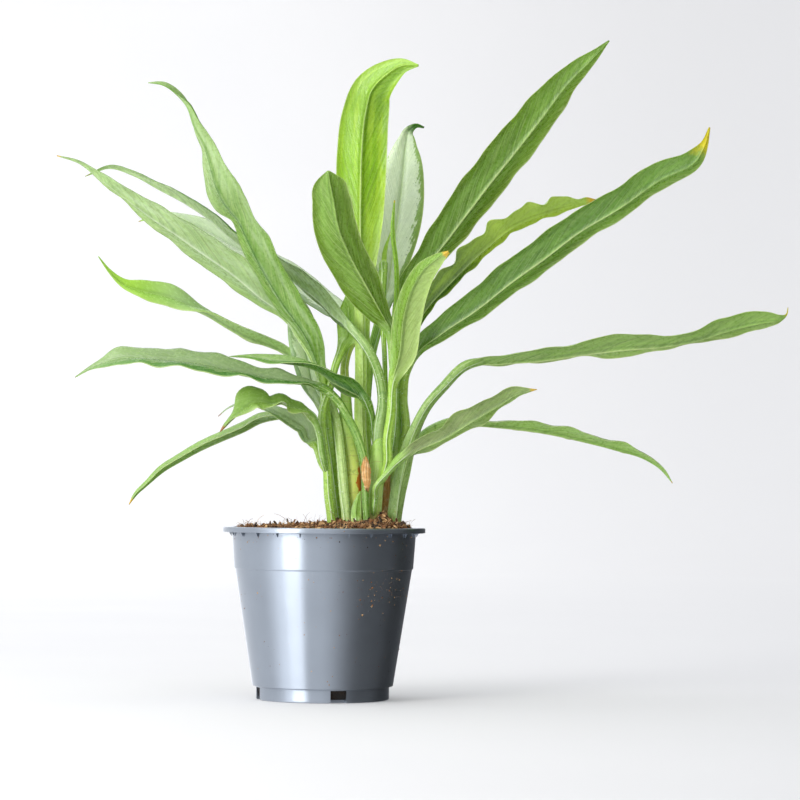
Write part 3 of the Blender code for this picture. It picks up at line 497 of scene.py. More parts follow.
class Graph:
    """The nodes of a new material, or of the world that it is given, made one line at a time.

    A value is a node's output, a number, a linear colour or the name of a paint.
    """

    def __init__(self, name, world=None):
        self.material = world or bpy.data.materials.new(name)
        self.material.use_nodes = True
        self.nodes = self.material.node_tree.nodes
        self.links = self.material.node_tree.links
        self.shader = self.nodes["Background" if world else "Principled BSDF"]

    def add(self, kind, values=(), **settings):
        node = self.nodes.new("ShaderNode" + kind)
        for key, value in settings.items():
            setattr(node, key, value)
        for index, value in enumerate(values):
            self.feed(value, node.inputs[index])
        return node

    def feed(self, value, socket):
        if isinstance(value, str):
            value = linear(value)
        if isinstance(value, bpy.types.NodeSocket):
            self.links.new(value, socket)
        elif isinstance(value, tuple) and socket.type == "RGBA":
            socket.default_value = (*value, 1)
        elif value is not None:
            socket.default_value = value

    def math(self, operation, *values):
        return self.add("Math", values, operation=operation).outputs[0]

    def times(self, first, second):
        return self.math("MULTIPLY", first, second)

    def plus(self, first, second):
        return self.math("ADD", first, second)

    def size(self, value):
        return self.math("ABSOLUTE", value)

    def read(self, name):
        """A number stored on the piece's own points."""
        return self.add("Attribute", attribute_name=name).outputs["Fac"]

    def place(self):
        """The point in the object's own metres."""
        return self.add("TexCoord").outputs["Object"]

    def split(self, where):
        """The x, y and z of a point."""
        return self.add("SeparateXYZ", (where,)).outputs

    def noise(self, where, scale, detail=3.0, roughness=0.55):
        node = self.add("TexNoise")
        keys = ("Vector", "Scale", "Detail", "Roughness")
        for key, value in zip(keys, (where, scale, detail, roughness)):
            self.feed(value, node.inputs[key])
        return node.outputs["Fac"]

    def swing(self, *noise):
        """Noise that goes about as far below 0 as above it."""
        return self.plus(self.noise(*noise), -0.5)

    def drawn(self, first, second, layer, *noise):
        """Noise over two numbers, each given with its own scale, which draws it out into streaks."""
        where = self.add("CombineXYZ", (self.times(*first), self.times(*second), layer)).outputs[0]
        return self.noise(where, *noise)

    def spots(self, where, scale):
        """Distance to the nearest of many scattered points."""
        node = self.add("TexVoronoi")
        self.feed(where, node.inputs["Vector"])
        self.feed(scale, node.inputs["Scale"])
        return node.outputs["Distance"]

    def step(self, value, low, high, to_low=0.0, to_high=1.0):
        """Rises smoothly from to_low to to_high while the value goes from low to high."""
        values = (value, low, high, to_low, to_high)
        return self.add("MapRange", values, interpolation_type="SMOOTHSTEP").outputs[0]

    def near(self, value, centre, reach, share):
        """Share where the value is the centre, down to 0 at the reach on either side."""
        return self.step(self.size(self.plus(value, -centre)), reach, 0.0, 0.0, share)

    def mix(self, share, first, second, blend="MIX"):
        """Goes from the first colour to the second as share goes from 0 to 1."""
        node = self.add("Mix", data_type="RGBA", blend_type=blend)
        self.feed(share, node.inputs["Factor"])
        self.feed(first, node.inputs[6])
        self.feed(second, node.inputs[7])
        return node.outputs[2]

    def coat(self, colour, paint, value, low, high, share=1.0):
        """The colour with up to a share of the paint over it, as the value goes from low to high."""
        return self.mix(self.step(value, low, high, 0.0, share), colour, paint)

    def bump(self, height, strength, distance, normal=None):
        node = self.add("Bump")
        keys = ("Strength", "Distance", "Height", "Normal")
        for key, value in zip(keys, (strength, distance, height, normal)):
            self.feed(value, node.inputs[key])
        return node.outputs["Normal"]

    def finish(self, colour, roughness, normal, **constants):
        for key, value in (("Base Color", colour), ("Roughness", roughness), ("Normal", normal)):
            self.feed(value, self.shader.inputs[key])
        for key, value in constants.items():
            self.shader.inputs[key.replace("_", " ")].default_value = value
        return self.material


def leaf_material(name, settings):
    """Two faced leaf: veined below, plain or silvered above, on a striped and mottled stem, with painted
    sheen bands, one half painted lighter or darker, and painted shade beside the midrib and beside the stem's
    sheath margin.

    The pattern reads the numbers stored on the leaf: across runs from -1 to 1 over the blade, along and
    to_tip are mm, vein counts side veins, face is 1 above and 0 below, blade is 0 on the stem, and
    sheath is 0 at the margin that winds round the stem. The paints are those of the leaf in LOOKS, and
    a leaf in FADES turns to another paint away from its tip.
    """
    under, upper, stem, (side, half_tint_and_shade, amount), (tip, tip_length) = LOOKS[name]
    limy, silky = under in LIMY, under == "celery"
    g = Graph(name + " finish")
    place = g.place()
    across, along, to_tip = g.read("across"), g.read("along"), g.read("to_tip")
    face, blade, sheath = g.read("face"), g.read("blade"), g.read("sheath")
    edge = g.size(across)
    half = g.times(across, float(side))
    broad = g.noise(place, 28.0, 2.0)
    fine = g.noise(place, 420.0, 4.0, 0.65)
    vein = g.plus(g.read("vein"), g.times(g.swing(place, 60.0), 0.4))
    line = g.times(g.step(g.math("PINGPONG", vein, 0.5), 0.09, 0.0), 0.14)
    layer = g.times(face, 3.0)
    streak = g.drawn((vein, 1.3), (edge, 0.6), layer, 1.6, 3.0)
    fibre = g.drawn((vein, 5.0), (edge, 0.9), layer, 1.6, 2.0)
    # Painted sheen: broad pale bands along the blade stand in for light mirrored off its curved skin.
    painted_sheen = g.drawn((across, 1.6), (along, 0.011), layer, 2.0, 2.0)
    away, fade = under, 0.0
    if name in FADES:
        away, begins, ends = FADES[name]
        fade = g.step(to_tip, begins, ends)

    def faded(paint, share):
        return g.mix(fade, linear(paint, share), linear(away, share))

    lower = g.mix(g.step(broad, 0.32, 0.68), faded(under, 0.85), faded(under, 1.1))
    lower = g.coat(lower, faded(under, 0.52), streak, 0.42, 0.64, 0.5 if limy else 0.66)
    lower = g.coat(lower, "lemon" if limy else "rib", fibre, 0.48, 0.64, 0.3 if limy else 0.4)
    # Painted highlight where the sheen bands are high, painted shade between them.
    lower = g.coat(lower, "acid" if limy else "silver" if silky else "fresh", painted_sheen, 0.46, 0.64, 0.42)
    lower = g.coat(lower, faded(under, 0.6), painted_sheen, 0.46, 0.30, 0.5)
    lower = g.mix(line, lower, "rib")

    top = g.mix(g.step(broad, 0.3, 0.7), faded(upper, 0.9), faded(upper, 1.1))
    if name in SILVERED:
        ragged = g.plus(g.times(g.swing(place, 230.0, 5.0, 0.7), 0.6), g.times(g.plus(streak, -0.5), 0.7))
        ragged = g.plus(g.plus(edge, ragged), g.times(half, 0.16))
        top = g.coat(top, "moss" if upper == "frost" else "deep", ragged, 0.80, 0.92)
        speckle = g.times(g.step(g.spots(place, 520.0), 0.3, 0.18), g.step(ragged, 0.45, 0.85, 0.0, 0.6))
        top = g.mix(speckle, top, "deep")
        top = g.coat(top, "deep", edge, 0.08, 0.04, 0.2)
    top = g.coat(top, "green", fibre, 0.48, 0.66, 0.18)
    top = g.mix(line, top, "deep")

    skin = g.mix(face, lower, top)
    # Painted light and shade: one half of the blade lighter or darker, as lit or shaded across its fold, in
    # places the leaf's own tint.
    skin = g.coat(skin, half_tint_and_shade, half, -0.02, 0.10, amount)
    skin = g.coat(skin, "fresh", to_tip, 90.0, 10.0, 0.22)
    rib = g.times(g.step(edge, 0.055, 0.015), g.step(to_tip, 15.0, 120.0, 0.15, 0.7))
    rib_paint = "deep" if name == "leaf_upper_left" else "frost" if silky else "rib"
    skin = g.mix(rib, skin, rib_paint)
    # Painted shade beside the midrib: a green line on one side of it on the pale leaves, darker bands on both
    # sides on the rest.
    if silky:
        skin = g.mix(g.near(half, 0.075, 0.04, 0.55), skin, "green")
    else:
        shade_beside_rib = g.times(g.near(edge, 0.10, 0.06, 0.45), g.step(face, 0.0, 1.0, 1.0, 0.35))
        skin = g.mix(shade_beside_rib, skin, faded(under, 0.45))
    skin = g.coat(skin, "green" if silky else "rib", edge, 0.95, 0.985, 0.6)
    freckle = g.times(g.step(g.spots(place, 260.0), 0.10, 0.05), g.step(broad, 0.58, 0.64, 0.0, 0.5))
    skin = g.mix(freckle, skin, "dark")

    stripes = g.drawn((across, 5.0), (along, 0.012), layer, 2.2, 4.0, 0.6)
    mottle = g.noise(place, 330.0, 4.0, 0.7)
    stalk = g.coat(stem, "pale", stripes, 0.46, 0.66, 0.65)
    stalk = g.coat(stalk, "green", stripes, 0.52, 0.36, 0.75)
    stalk = g.coat(stalk, "deep", mottle, 0.44, 0.32, 0.5)
    stalk = g.coat(stalk, "rib", mottle, 0.56, 0.7, 0.5)
    # Painted shade: darker green in the groove beside the raised sheath margin.
    stalk = g.mix(g.near(sheath, 0.2, 0.2, 0.55), stalk, "green")
    stalk = g.coat(stalk, "frost", g.size(sheath), 0.07, 0.02, 0.8)
    dusty = g.times(g.step(g.spots(place, 560.0), 0.24, 0.1), g.step(broad, 0.42, 0.56, 0.0, 0.8))
    stalk = g.mix(dusty, stalk, "frost")
    skin = g.mix(blade, stalk, skin)
    if tip_length:
        reach = g.plus(to_tip, g.times(g.swing(place, 190.0, 4.0), tip_length * 0.9))
        skin = g.coat(skin, tip, reach, tip_length, tip_length * 0.55)
        withered = g.times(g.step(reach, tip_length * 0.5, 0.0), g.step(fine, 0.45, 0.6))
        skin = g.mix(withered, skin, "dark" if tip == "deep" else "brown")
    skin = g.mix(g.step(fine, 0.35, 0.7, 0.0, 0.12), skin, (0.9, 0.95, 0.75), "SOFT_LIGHT")
    sheen = g.step(face, 0.0, 1.0, settings.gloss, settings.gloss - 0.04)
    normal = g.bump(g.plus(g.times(fibre, 0.6), g.times(streak, 1.2)), 0.5, 0.0006)
    normal = g.bump(g.noise(place, 1500.0, 2.0), 0.12, 0.0002, normal)
    return g.finish(
        skin, g.plus(g.step(fine, 0.3, 0.75, 0.0, 0.12), sheen), normal, Specular_IOR_Level=0.5,
        Subsurface_Weight=settings.glow, Subsurface_Radius=(0.8, 1.0, 0.25), Subsurface_Scale=0.003,
    )


def cane_material(name):
    """Cane skin: pale green with lengthwise streaks, faint ring scars, a dusty foot and a green top.

    The fat left cane is a buttery yellow, with a torn rusty strip down its right side.
    """
    fat = name == "cane_left"
    g = Graph(name + " finish")
    place = g.place()
    x, _, z = g.split(place)
    stripes = g.drawn((g.read("across"), 6.0), (g.read("along"), 0.015), g.read("face"), 2.0, 4.0, 0.6)
    colour = g.coat("butter" if fat else "stem", "butter" if fat else "pale", stripes, 0.38, 0.62)
    colour = g.coat(colour, "fresh", stripes, 0.44, 0.3, 0.6)
    colour = g.coat(colour, "fresh", z, 0.128, 0.165, 0.8)
    uneven = g.swing(place, 150.0, 4.0)
    scar = g.math("PINGPONG", g.plus(g.read("vein"), g.times(g.noise(place, 90.0), 0.12)), 0.5)
    colour = g.coat(colour, "brown", scar, 0.03, 0.0, 0.3)
    colour = g.coat(colour, "green", g.noise(place, 300.0, 4.0, 0.7), 0.46, 0.32, 0.4)
    colour = g.coat(colour, "frost", g.spots(place, 800.0), 0.2, 0.08, 0.7)
    colour = g.coat(colour, "brown", g.plus(z, g.times(uneven, 0.02)), 0.112, 0.101, 0.85)
    if fat:
        torn = g.step(g.plus(x, g.times(uneven, 0.009)), 0.0197, 0.0203)
        height = g.times(g.step(z, 0.112, 0.120), g.step(z, 0.143, 0.136))
        colour = g.mix(g.times(torn, height), colour, "rust")
    return g.finish(
        colour, g.step(stripes, 0.3, 0.7, 0.38, 0.52), g.bump(stripes, 0.4, 0.0004),
        Subsurface_Weight=0.15, Subsurface_Radius=(0.9, 1.0, 0.3), Subsurface_Scale=0.003,
    )


def husk_material():
    """Dry sheath: tan paper with dark lengthwise fibres, pale patches and dark sides."""
    g = Graph("Dry sheath finish")
    across = g.read("across")
    fibres = g.drawn((across, 9.0), (g.read("along"), 0.035), 0.0, 2.4, 5.0, 0.7)
    colour = g.coat((0.44, 0.17, 0.035), (0.88, 0.52, 0.19), fibres, 0.36, 0.58)
    colour = g.coat(colour, (0.95, 0.70, 0.38), g.noise(g.place(), 260.0, 4.0), 0.5, 0.65, 0.6)
    colour = g.coat(colour, (0.30, 0.11, 0.03), g.size(across), 0.8, 1.0, 0.5)
    return g.finish(colour, g.step(fibres, 0.3, 0.7, 0.7, 0.9), g.bump(fibres, 0.8, 0.0006))


def pot_material(settings):
    """Moulded plastic: blue grey with faint cloudy flow and fine scuffs, strewn with specks of soil."""
    g = Graph("Pot plastic finish")
    place = g.place()
    base = tuple(settings.colour)
    cloud = g.noise(place, 22.0, 3.0)
    near_rim = g.step(g.split(place)[2], 0.070, 0.099, 0.35, 1.0)
    chosen = g.step(g.noise(place, 45.0, 2.0), 0.5, 0.62)
    dark_specks = g.times(g.step(g.spots(place, 190.0), 0.10, 0.06), g.times(chosen, near_rim))
    shifted = g.add("VectorMath", (place, (0.37, 0.21, 0.11)), operation="ADD").outputs[0]
    few = g.step(g.noise(shifted, 38.0, 2.0), 0.55, 0.66)
    tan_specks = g.times(g.step(g.spots(shifted, 240.0), 0.11, 0.07), few)
    film = g.times(g.step(g.noise(place, 520.0, 5.0, 0.7), 0.55, 0.75, 0.0, 0.2), near_rim)
    colour = g.coat(base, tuple(1.1 * channel for channel in base), cloud, 0.3, 0.7)
    colour = g.mix(dark_specks, colour, (0.09, 0.05, 0.025))
    colour = g.mix(tan_specks, colour, (0.50, 0.30, 0.13))
    colour = g.mix(film, colour, (0.34, 0.30, 0.26))
    specks = g.plus(dark_specks, tan_specks)
    smooth = g.step(cloud, 0.3, 0.7, settings.roughness, settings.roughness + 0.03)
    rough = g.plus(smooth, g.times(g.plus(specks, film), 0.5))
    normal = g.bump(g.noise(place, 120.0, 2.0), 0.04, 0.0006)
    normal = g.bump(specks, 0.4, 0.0006, normal)
    return g.finish(
        colour, rough, normal, Specular_IOR_Level=0.8, Metallic=0.88, Anisotropic=0.95,
        Anisotropic_Rotation=0.25,
    )


def soil_material():
    """Potting mix: dark crumbs, orange brown bark and pale dust, with painted shade that makes it nearly
    black low down at the drain notches.
    """
    g = Graph("Potting mix finish")
    place = g.place()
    crumbs = g.noise(place, 210.0, 8.0, 0.75)
    lumps = g.spots(place, 330.0)
    colour = g.coat((0.010, 0.006, 0.004), (0.11, 0.055, 0.024), crumbs, 0.36, 0.64)
    colour = g.coat(colour, (0.24, 0.12, 0.045), g.noise(place, 95.0, 3.0), 0.54, 0.68, 0.7)
    colour = g.coat(colour, (0.40, 0.25, 0.12), lumps, 0.2, 0.0, 0.4)
    # Painted shade: the soil turns nearly black low in the pot, where it shows through the drain notches.
    colour = g.coat(colour, (0.004, 0.003, 0.002), g.split(place)[2], 0.05, 0.015, 0.9)
    normal = g.bump(lumps, 0.8, 0.0008, g.bump(crumbs, 1.0, 0.0012))
    return g.finish(colour, g.step(crumbs, 0.3, 0.7, 0.85, 1.0), normal)


def crumb_material(name):
    """Bark and fibre: each crumb has its own tone from dark to orange, with grain along it."""
    g = Graph(name + " finish")
    tone = g.read("tone")
    grain = g.noise(g.place(), 900.0, 4.0, 0.7)
    colour = g.coat((0.016, 0.009, 0.005), (0.22, 0.090, 0.028), tone, 0.05, 0.5)
    colour = g.coat(colour, (0.64, 0.40, 0.18), tone, 0.5, 0.9)
    colour = g.coat(colour, (0.55, 0.36, 0.20), grain, 0.5, 0.7, 0.35)
    return g.finish(colour, g.step(grain, 0.3, 0.7, 0.75, 0.95), g.bump(grain, 0.8, 0.0005))


def sweep_material(settings):
    """Pale studio sweep that glows softly, most behind the plant, with a painted shade that greys it towards
    the right.
    """
    g = Graph("Studio sweep finish")
    place = g.place()
    x, y, _ = g.split(place)
    glow = g.step(y, -2.0, 3.2, settings.glow_front, settings.glow_back)
    paint = g.coat((0.63, 0.63, 0.63), (0.65, 0.65, 0.645), g.noise(place, 3.0, 2.0), 0.3, 0.7)
    # Painted shade: the paint greys towards the right, where the light falls off.
    paint = g.coat(paint, (0.49, 0.49, 0.49), x, -0.5, 0.75)
    g.feed(g.times(glow, g.step(x, -1.2, 0.9, 1.0, 0.62)), g.shader.inputs["Emission Strength"])
    g.feed((1.0, 0.99, 0.99), g.shader.inputs["Emission Color"])
    return g.finish(paint, 0.9, None)


def studio_world(settings):
    """What glossy surfaces mirror: bright at the left with a tall panel, dark at the right and behind it.

    It is a little brighter above and straight behind. A direction's x runs to the right, y away from
    the viewer and z up, each from -1 to 1.
    """
    g = Graph("Studio world", bpy.data.worlds.new("Studio world"))
    x, y, z = g.split(g.place())
    level = g.step(x, -0.1, 0.85, settings.world_left, settings.world_right)
    right_behind = g.times(g.step(x, 0.0, 0.15), g.step(y, 0.0, 0.5))
    level = g.times(level, g.plus(g.times(right_behind, -0.85), 1.0))
    panel = g.times(g.step(x, -0.93, -0.86), g.step(x, -0.36, -0.46))
    panel = g.times(panel, g.step(y, 0.1, -0.1, 0.0, settings.world_panel))
    behind = g.times(g.step(y, 0.93, 0.985, 0.0, 0.7), g.step(x, 0.1, -0.05))
    above = g.step(z, 0.2, 0.9, 0.0, 0.25)
    g.feed((0.93, 0.95, 1.0), g.shader.inputs["Color"])
    g.feed(g.plus(g.plus(level, panel), g.plus(behind, above)), g.shader.inputs["Strength"])
    return g.material


def shell_faces(count, around):
    """Faces of a closed shell over count rings of points: quads between the rings, then both ends."""
    ring, point = np.mgrid[: count - 1, :around]
    a = (ring * around + point).ravel()
    b = (ring * around + (point + 1) % around).ravel()
    quads = np.stack([a, b, b + around, a + around], axis=1)
    last = around * (count - 1)
    return [*quads.tolist(), [*range(around - 1, -1, -1)], [*range(last, last + around)]]


def flipped(faces):
    """The faces with their outer sides turned in."""
    return [face[::-1] for face in faces]


def new_object(name, points, faces, finish=None):
    """A smooth shaded object in the scene, from points in metres."""
    mesh = bpy.data.meshes.new(name)
    mesh.from_pydata(points.reshape(-1, 3).tolist(), [], faces)
    if finish:
        mesh.materials.append(finish)
    mesh.shade_smooth()
    made = bpy.data.objects.new(name, mesh)
    bpy.context.scene.collection.objects.link(made)
    return made


def new_piece(name, points, faces, finish, replaces=(), numbers=None, sharp=0):
    """A piece from points in mm, riding on the plant's one body, its edges sharp beyond so many degrees.

    Numbers holds one value a point for each pattern that the finish reads.
    """
    piece = new_object(name, points * MM, faces, finish)
    for key, values in (numbers or {}).items():
        layer = piece.data.attributes.new(key, "FLOAT", "POINT")
        layer.data.foreach_set("value", np.ascontiguousarray(values, np.float32).ravel())
    if sharp:
        piece.data.set_sharp_from_angle(angle=math.radians(sharp))
    piece.data.update()
    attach(piece, "root")
    for node in replaces:
        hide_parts(node)
    return piece


def strew(name, points, faces, finish, tones, sharp=0):
    """One piece of many loose parts. Points is parts by their points by 3, and each part has its tone."""
    points = points.reshape(len(points), -1, 3)
    count, corners = points.shape[:2]
    all_faces = np.array(faces) + corners * np.arange(count)[:, None, None]
    all_faces = all_faces.reshape(-1, len(faces[0])).tolist()
    numbers = {"tone": np.repeat(tones, corners)}
    new_piece(name, points, all_faces, crumb_material(finish), (), numbers, sharp)


def walked(points):
    """The distance walked to each point, as a column."""
    return np.concatenate([[0], np.cumsum(np.linalg.norm(np.diff(points, axis=0), axis=1))])[:, None]


def smooth_path(stations, spacing):
    """Points on a Catmull-Rom curve through the stations, at the spacing in mm.

    Each piece between two stations is the Hermite cubic whose end slopes are the mean slopes of the
    pieces on either side, with the distance between stations as its parameter.
    """
    rows = np.asarray(stations, float)
    at = walked(rows[:, :3])[:, 0]
    length = np.diff(at)
    step = np.diff(rows, axis=0) / length[:, None]
    blend = (length[:-1] / (length[:-1] + length[1:]))[:, None]
    slope = np.concatenate([step[:1], step[:-1] * (1 - blend) + step[1:] * blend, step[-1:]])
    where = np.linspace(0, at[-1], max(6, int(at[-1] / spacing)))
    part = np.clip(np.searchsorted(at, where, side="right") - 1, 0, len(length) - 1)
    t = ((where - at[part]) / length[part])[:, None]
    span = length[part][:, None]
    return (
        rows[part] * (2 * t**3 - 3 * t**2 + 1)
        + slope[part] * span * (t**3 - 2 * t**2 + t)
        + rows[part + 1] * (3 * t**2 - 2 * t**3)
        + slope[part + 1] * span * (t**3 - t**2)
    )


def directions(points, turns):
    """Across the blade and out of its upper face, for each ring.

    Across is square to the path in the viewer's picture, turned about the path by the station's turn.
    The upper face is then along cross across.
    """
    along = np.gradient(points, axis=0)
    along /= np.linalg.norm(along, axis=1)[:, None]
    flat = np.stack([-along[:, 2], np.zeros(len(along)), along[:, 0]], axis=1)
    flat /= np.linalg.norm(flat, axis=1)[:, None]
    turn = np.radians(turns)[:, None]
    across = np.cos(turn) * flat + np.sin(turn) * np.cross(along, flat)
    return across, np.cross(along, across)


def shifted(points, amount, direction):
    """Points moved by an amount for each ring and column, in the direction of each ring."""
    return points + amount[:, :, None] * direction[:, None, :]


def there_and_back(upper, lower):
    """Rings of values that run over the upper face and back under the lower one."""
    return np.concatenate([upper, lower[:, ::-1]], axis=1)


def beside(carrier, height, bearing, out):
    """Where a stem's centre is when it stands out of its carrier's skin at this height and bearing."""
    rows = np.asarray(CANES[carrier] if carrier in CANES else LEAVES[carrier]["stations"], float)
    x, y, radius = (np.interp(height, rows[:, 2], rows[:, i]) for i in (0, 1, 3))
    away, angle = radius + out, math.radians(bearing)
    return x + away * math.sin(angle), y - away * math.cos(angle)


def full_stations(leaf):
    """A leaf's stations with its start: down into the soil, out of its carrier's side, or out of its top.

    A seated stem begins as a narrow point inside its carrier, leaves the skin at the seat's height and
    lies clear beside the carrier from there on.
    """
    stations = leaf["stations"]
    x, y, z, half, turn = stations[0]
    if "seat" in leaf:
        carrier, height, bearing = leaf["seat"]
        low, above = height - SEAT_DEPTH, height + SEAT_LENGTH
        return (
            (*beside(carrier, low, bearing, -half), low, 0.4 * half, turn),
            (*beside(carrier, height, bearing, 0.25 * half), height, 0.85 * half, turn),
            (*beside(carrier, above, bearing, half + GAP), above, half, turn), *stations,
        )
    if z < ROOTED_BELOW:
        return ((x, y, ROOT_HEIGHT, half, turn), *stations)
    return ((x, y, z - TOP_DEPTH, 0.8 * half, turn), *stations)


def leaf_form(leaf, seed, settings):
    """The rings of a leaf, twice the columns to a ring, and the numbers its finish reads.

    A stem's section is nearly round: its point at column u stands at sin and cos of u times 90 degrees,
    with a raised sheath margin that winds slowly round it. A blade's section is a soft V whose middle
    height lies on the path. Its margins wave up and down at the leaf's pace, more on one side than on
    the other by the leaf's lobed, each half arches a little and has shallow lengthwise pleats, its
    underside carries the midrib as a bell-shaped ridge over a groove above, side veins raise it by a
    cosine of the vein number, and it thins toward its margins. The vein number grows along the leaf and
    falls toward the margins, so that each vein runs well forward. Widths between the two are blended.
    """
    rows = smooth_path(full_stations(leaf), settings.ring_spacing / MM)
    points = rows[:, :3]
    half = np.maximum(rows[:, 3], TIP_HALF)[:, None]
    across, upper = directions(points, rows[:, 4])
    share = np.clip((half - ROUND_BELOW) / (BLADE_ABOVE - ROUND_BELOW), 0, 1)
    share[np.argmax(half):] = 1
    size = np.clip(half / FULL_HALF, 0, 1)
    slope = math.radians(leaf["fold"])
    u = COLUMNS[None, :]
    out = np.abs(u)
    quarter = np.pi / 2 * u
    walk = walked(points)
    phase = seed * LEAF_PHASE

    side = np.tanh(u * 6)
    pace = walk * leaf.get("pace", 1.0)
    ripple = np.sin(pace / LONG_WAVE + phase + side * SIDE_PHASE) + 0.5 * np.sin(pace / SHORT_WAVE + phase)
    ripple = ripple * (1 + leaf.get("lobed", 0.0) * side)
    v_shape = np.sqrt(u**2 + 0.004) - 0.5
    arch = 0.56 * out * (1 - out) - 0.07
    pleats = np.cos(PLEATS * np.pi * out + 0.7 * np.sin(walk / 23 + phase + side))
    lift = half * (v_shape * math.sin(slope) + arch)
    lift = lift + WAVE_SHOWN * leaf["wave"] * ripple * u**2 * size
    lift = share * (lift + PLEAT_DEPTH * half * pleats * np.clip(2.5 * out, 0, 1))
    column = (1 - share) * np.sin(quarter) + share * u
    reach = half * column * (1 - share + share * math.cos(slope))

    x = half * u
    vein = (walk - VEIN_SLANT * np.abs(x) - VEIN_CURVE * x**2) / (settings.vein_spacing / MM)
    vein = vein + np.where(u > 0, 0.5, 0.0)
    relief = share * size * settings.vein_depth / MM * np.cos(2 * np.pi * vein) * np.clip(out * 6, 0, 1)
    bell = np.exp(-((x / 0.75) ** 2)) * np.maximum(size, 0.15)
    thick = settings.blade_thickness / MM / 2 * (1 - 0.65 * u**2) * np.clip(half / 2, 0.3, 1)

    sheath = u - 0.4 * np.sin(walk / 55 + phase)
    margin = 0.10 * np.exp(-((sheath / 0.13) ** 2)) - 0.08 * np.exp(-(((sheath - 0.3) / 0.16) ** 2))
    round_stem = (1 - share) * half * (STEM_ROUND * np.cos(quarter) + margin * (out < 0.95))
    top = round_stem + share * (thick - 0.30 * bell - relief)
    low = round_stem + share * (thick + settings.rib_depth / MM * bell + relief)
    middle = shifted(points[:, None, :], reach, across)
    rings = there_and_back(shifted(middle, lift + top, upper), shifted(middle, lift - low, upper))

    ones = np.ones_like(reach)
    numbers = {
        "across": u, "along": walk, "to_tip": walk[-1] - walk, "vein": vein, "blade": share, "sheath": sheath,
    }
    numbers = {key: there_and_back(value * ones, value * ones) for key, value in numbers.items()}
    numbers["face"] = there_and_back(ones, 0 * ones)
    return rings, numbers


def loft(name, rings, finish, numbers, replaces=None):
    """A closed piece over rings of points, in place of the node of its name unless it is told otherwise."""
    nodes = (name,) if replaces is None else replaces
    new_piece(name + "_skin", rings, flipped(shell_faces(*rings.shape[:2])), finish, nodes, numbers)


def cane_form(stations, seed, settings):
    """Rings of a cane: round, with a narrow groove at each ring scar and a faint swelling below it.

    Near its top the rings lean, by the cosine of the turn, so that it ends in a slanted mouth.
    """
    rows = smooth_path(stations, settings.ring_spacing / MM)
    points = rows[:, :3]
    across, upper = directions(points, rows[:, 4])
    walk = walked(points)
    turn = np.linspace(0, 2 * np.pi, CANE_SIDES, endpoint=False)[None, :]
    vein = (walk + 1.2 * np.sin(turn + seed) + 0.5 * np.sin(3 * turn + seed)) / SCAR_SPACING + 0.3 * seed
    near = np.abs((vein + 0.5) % 1 - 0.5)
    groove, swelling = np.exp(-((near / 0.05) ** 2)), np.exp(-(((near - 0.12) / 0.06) ** 2))
    radius = rows[:, 3][:, None] * (1 - 0.05 * groove + 0.02 * swelling)
    radius = radius * (1 + 0.015 * np.sin(5 * turn + walk / 30))
    mouth = np.clip((walk - walk[-1] + MOUTH_LENGTH) / MOUTH_LENGTH, 0, 1)
    rings = shifted(points[:, None, :], MOUTH_LEAN * mouth**2 * np.cos(turn - 2 * seed), UP[None, :])
    rings = shifted(rings, radius * np.cos(turn), across)
    rings = shifted(rings, radius * np.sin(turn), upper)
    ones = np.ones_like(radius)
    numbers = {
        "across": np.sin(turn) * ones, "along": walk * ones, "vein": vein,
        "face": (np.cos(turn) > 0) * ones,
    }
    return rings[:, ::-1], {key: values[:, ::-1] for key, values in numbers.items()}


def husk_form(stations):
    """A torn sheath: a thin sheet bent round the stem, its sides ragged and its ends in uneven teeth.

    Sines of the place across lift or lower the ends, sines of the place along push the sides in or
    out, and both push the sheet towards the viewer and back.
    """
    rows = smooth_path(stations, HUSK_SPACING)
    points, half = rows[:, :3], rows[:, 3][:, None]
    across, upper = directions(points, rows[:, 4])
    u = np.linspace(-1, 1, 61)[None, :]
    walk = np.arange(len(rows))[:, None] / len(rows)
    teeth = 1.1 * np.sin(u * 4 + 2.6) + 0.8 * np.sin(u * 17) + 0.5 * np.sin(u * 37 + 2)
    ragged = 1 + (0.07 * np.sin(walk * 17 + np.sign(u) * 2) + 0.05 * np.sin(walk * 53 + np.sign(u))) * u**4
    bend = -0.45 * half * u**2 + 0.22 * np.sin(u * 11 + walk * 2) + 0.10 * np.sin(u * 29 - walk * 3)
    middle = shifted(points[:, None, :], half * u * ragged, across)
    middle = shifted(middle, (2 * walk - 1) ** 3 * teeth, UP[None, :])
    raised, below = (shifted(middle, bend + thick, upper) for thick in (HUSK_HALF, -HUSK_HALF))
    wide, long = u + 0 * walk, 20 * walk + 0 * u
    numbers = {"across": there_and_back(wide, wide), "along": there_and_back(long, long)}
    return there_and_back(raised, below), numbers


def turned(radius, angle, height):
    """Points at a distance from Z, an angle round it from the viewer towards the right, and a height."""
    return np.stack(np.broadcast_arrays(radius * np.sin(angle), -radius * np.cos(angle), height), axis=-1)


def turned_form(profile, steps):
    """Points of a profile of (radius, height) carried round Z, a ring for each step of the profile."""
    radius, height = np.asarray(profile, float).T[:, :, None]
    return turned(radius, np.linspace(0, 2 * np.pi, steps, endpoint=False)[None, :], height)


def rounded(profile, reach, steps=4):
    """The profile with each inner corner replaced by a curve that starts at most reach before it.

    A curve's points are the quadratic Bezier from the start, over the corner, to the end.
    """
    rows = np.asarray(profile, float)
    out = [rows[0]]
    for before, corner, after in zip(rows[:-2], rows[1:-1], rows[2:]):
        start = corner + (before - corner) * min(0.45, reach / np.linalg.norm(before - corner))
        end = corner + (after - corner) * min(0.45, reach / np.linalg.norm(after - corner))
        for t in np.linspace(0, 1, steps):
            out.append((1 - t) ** 2 * start + 2 * t * (1 - t) * corner + t**2 * end)
    return np.array(out + [rows[-1]])


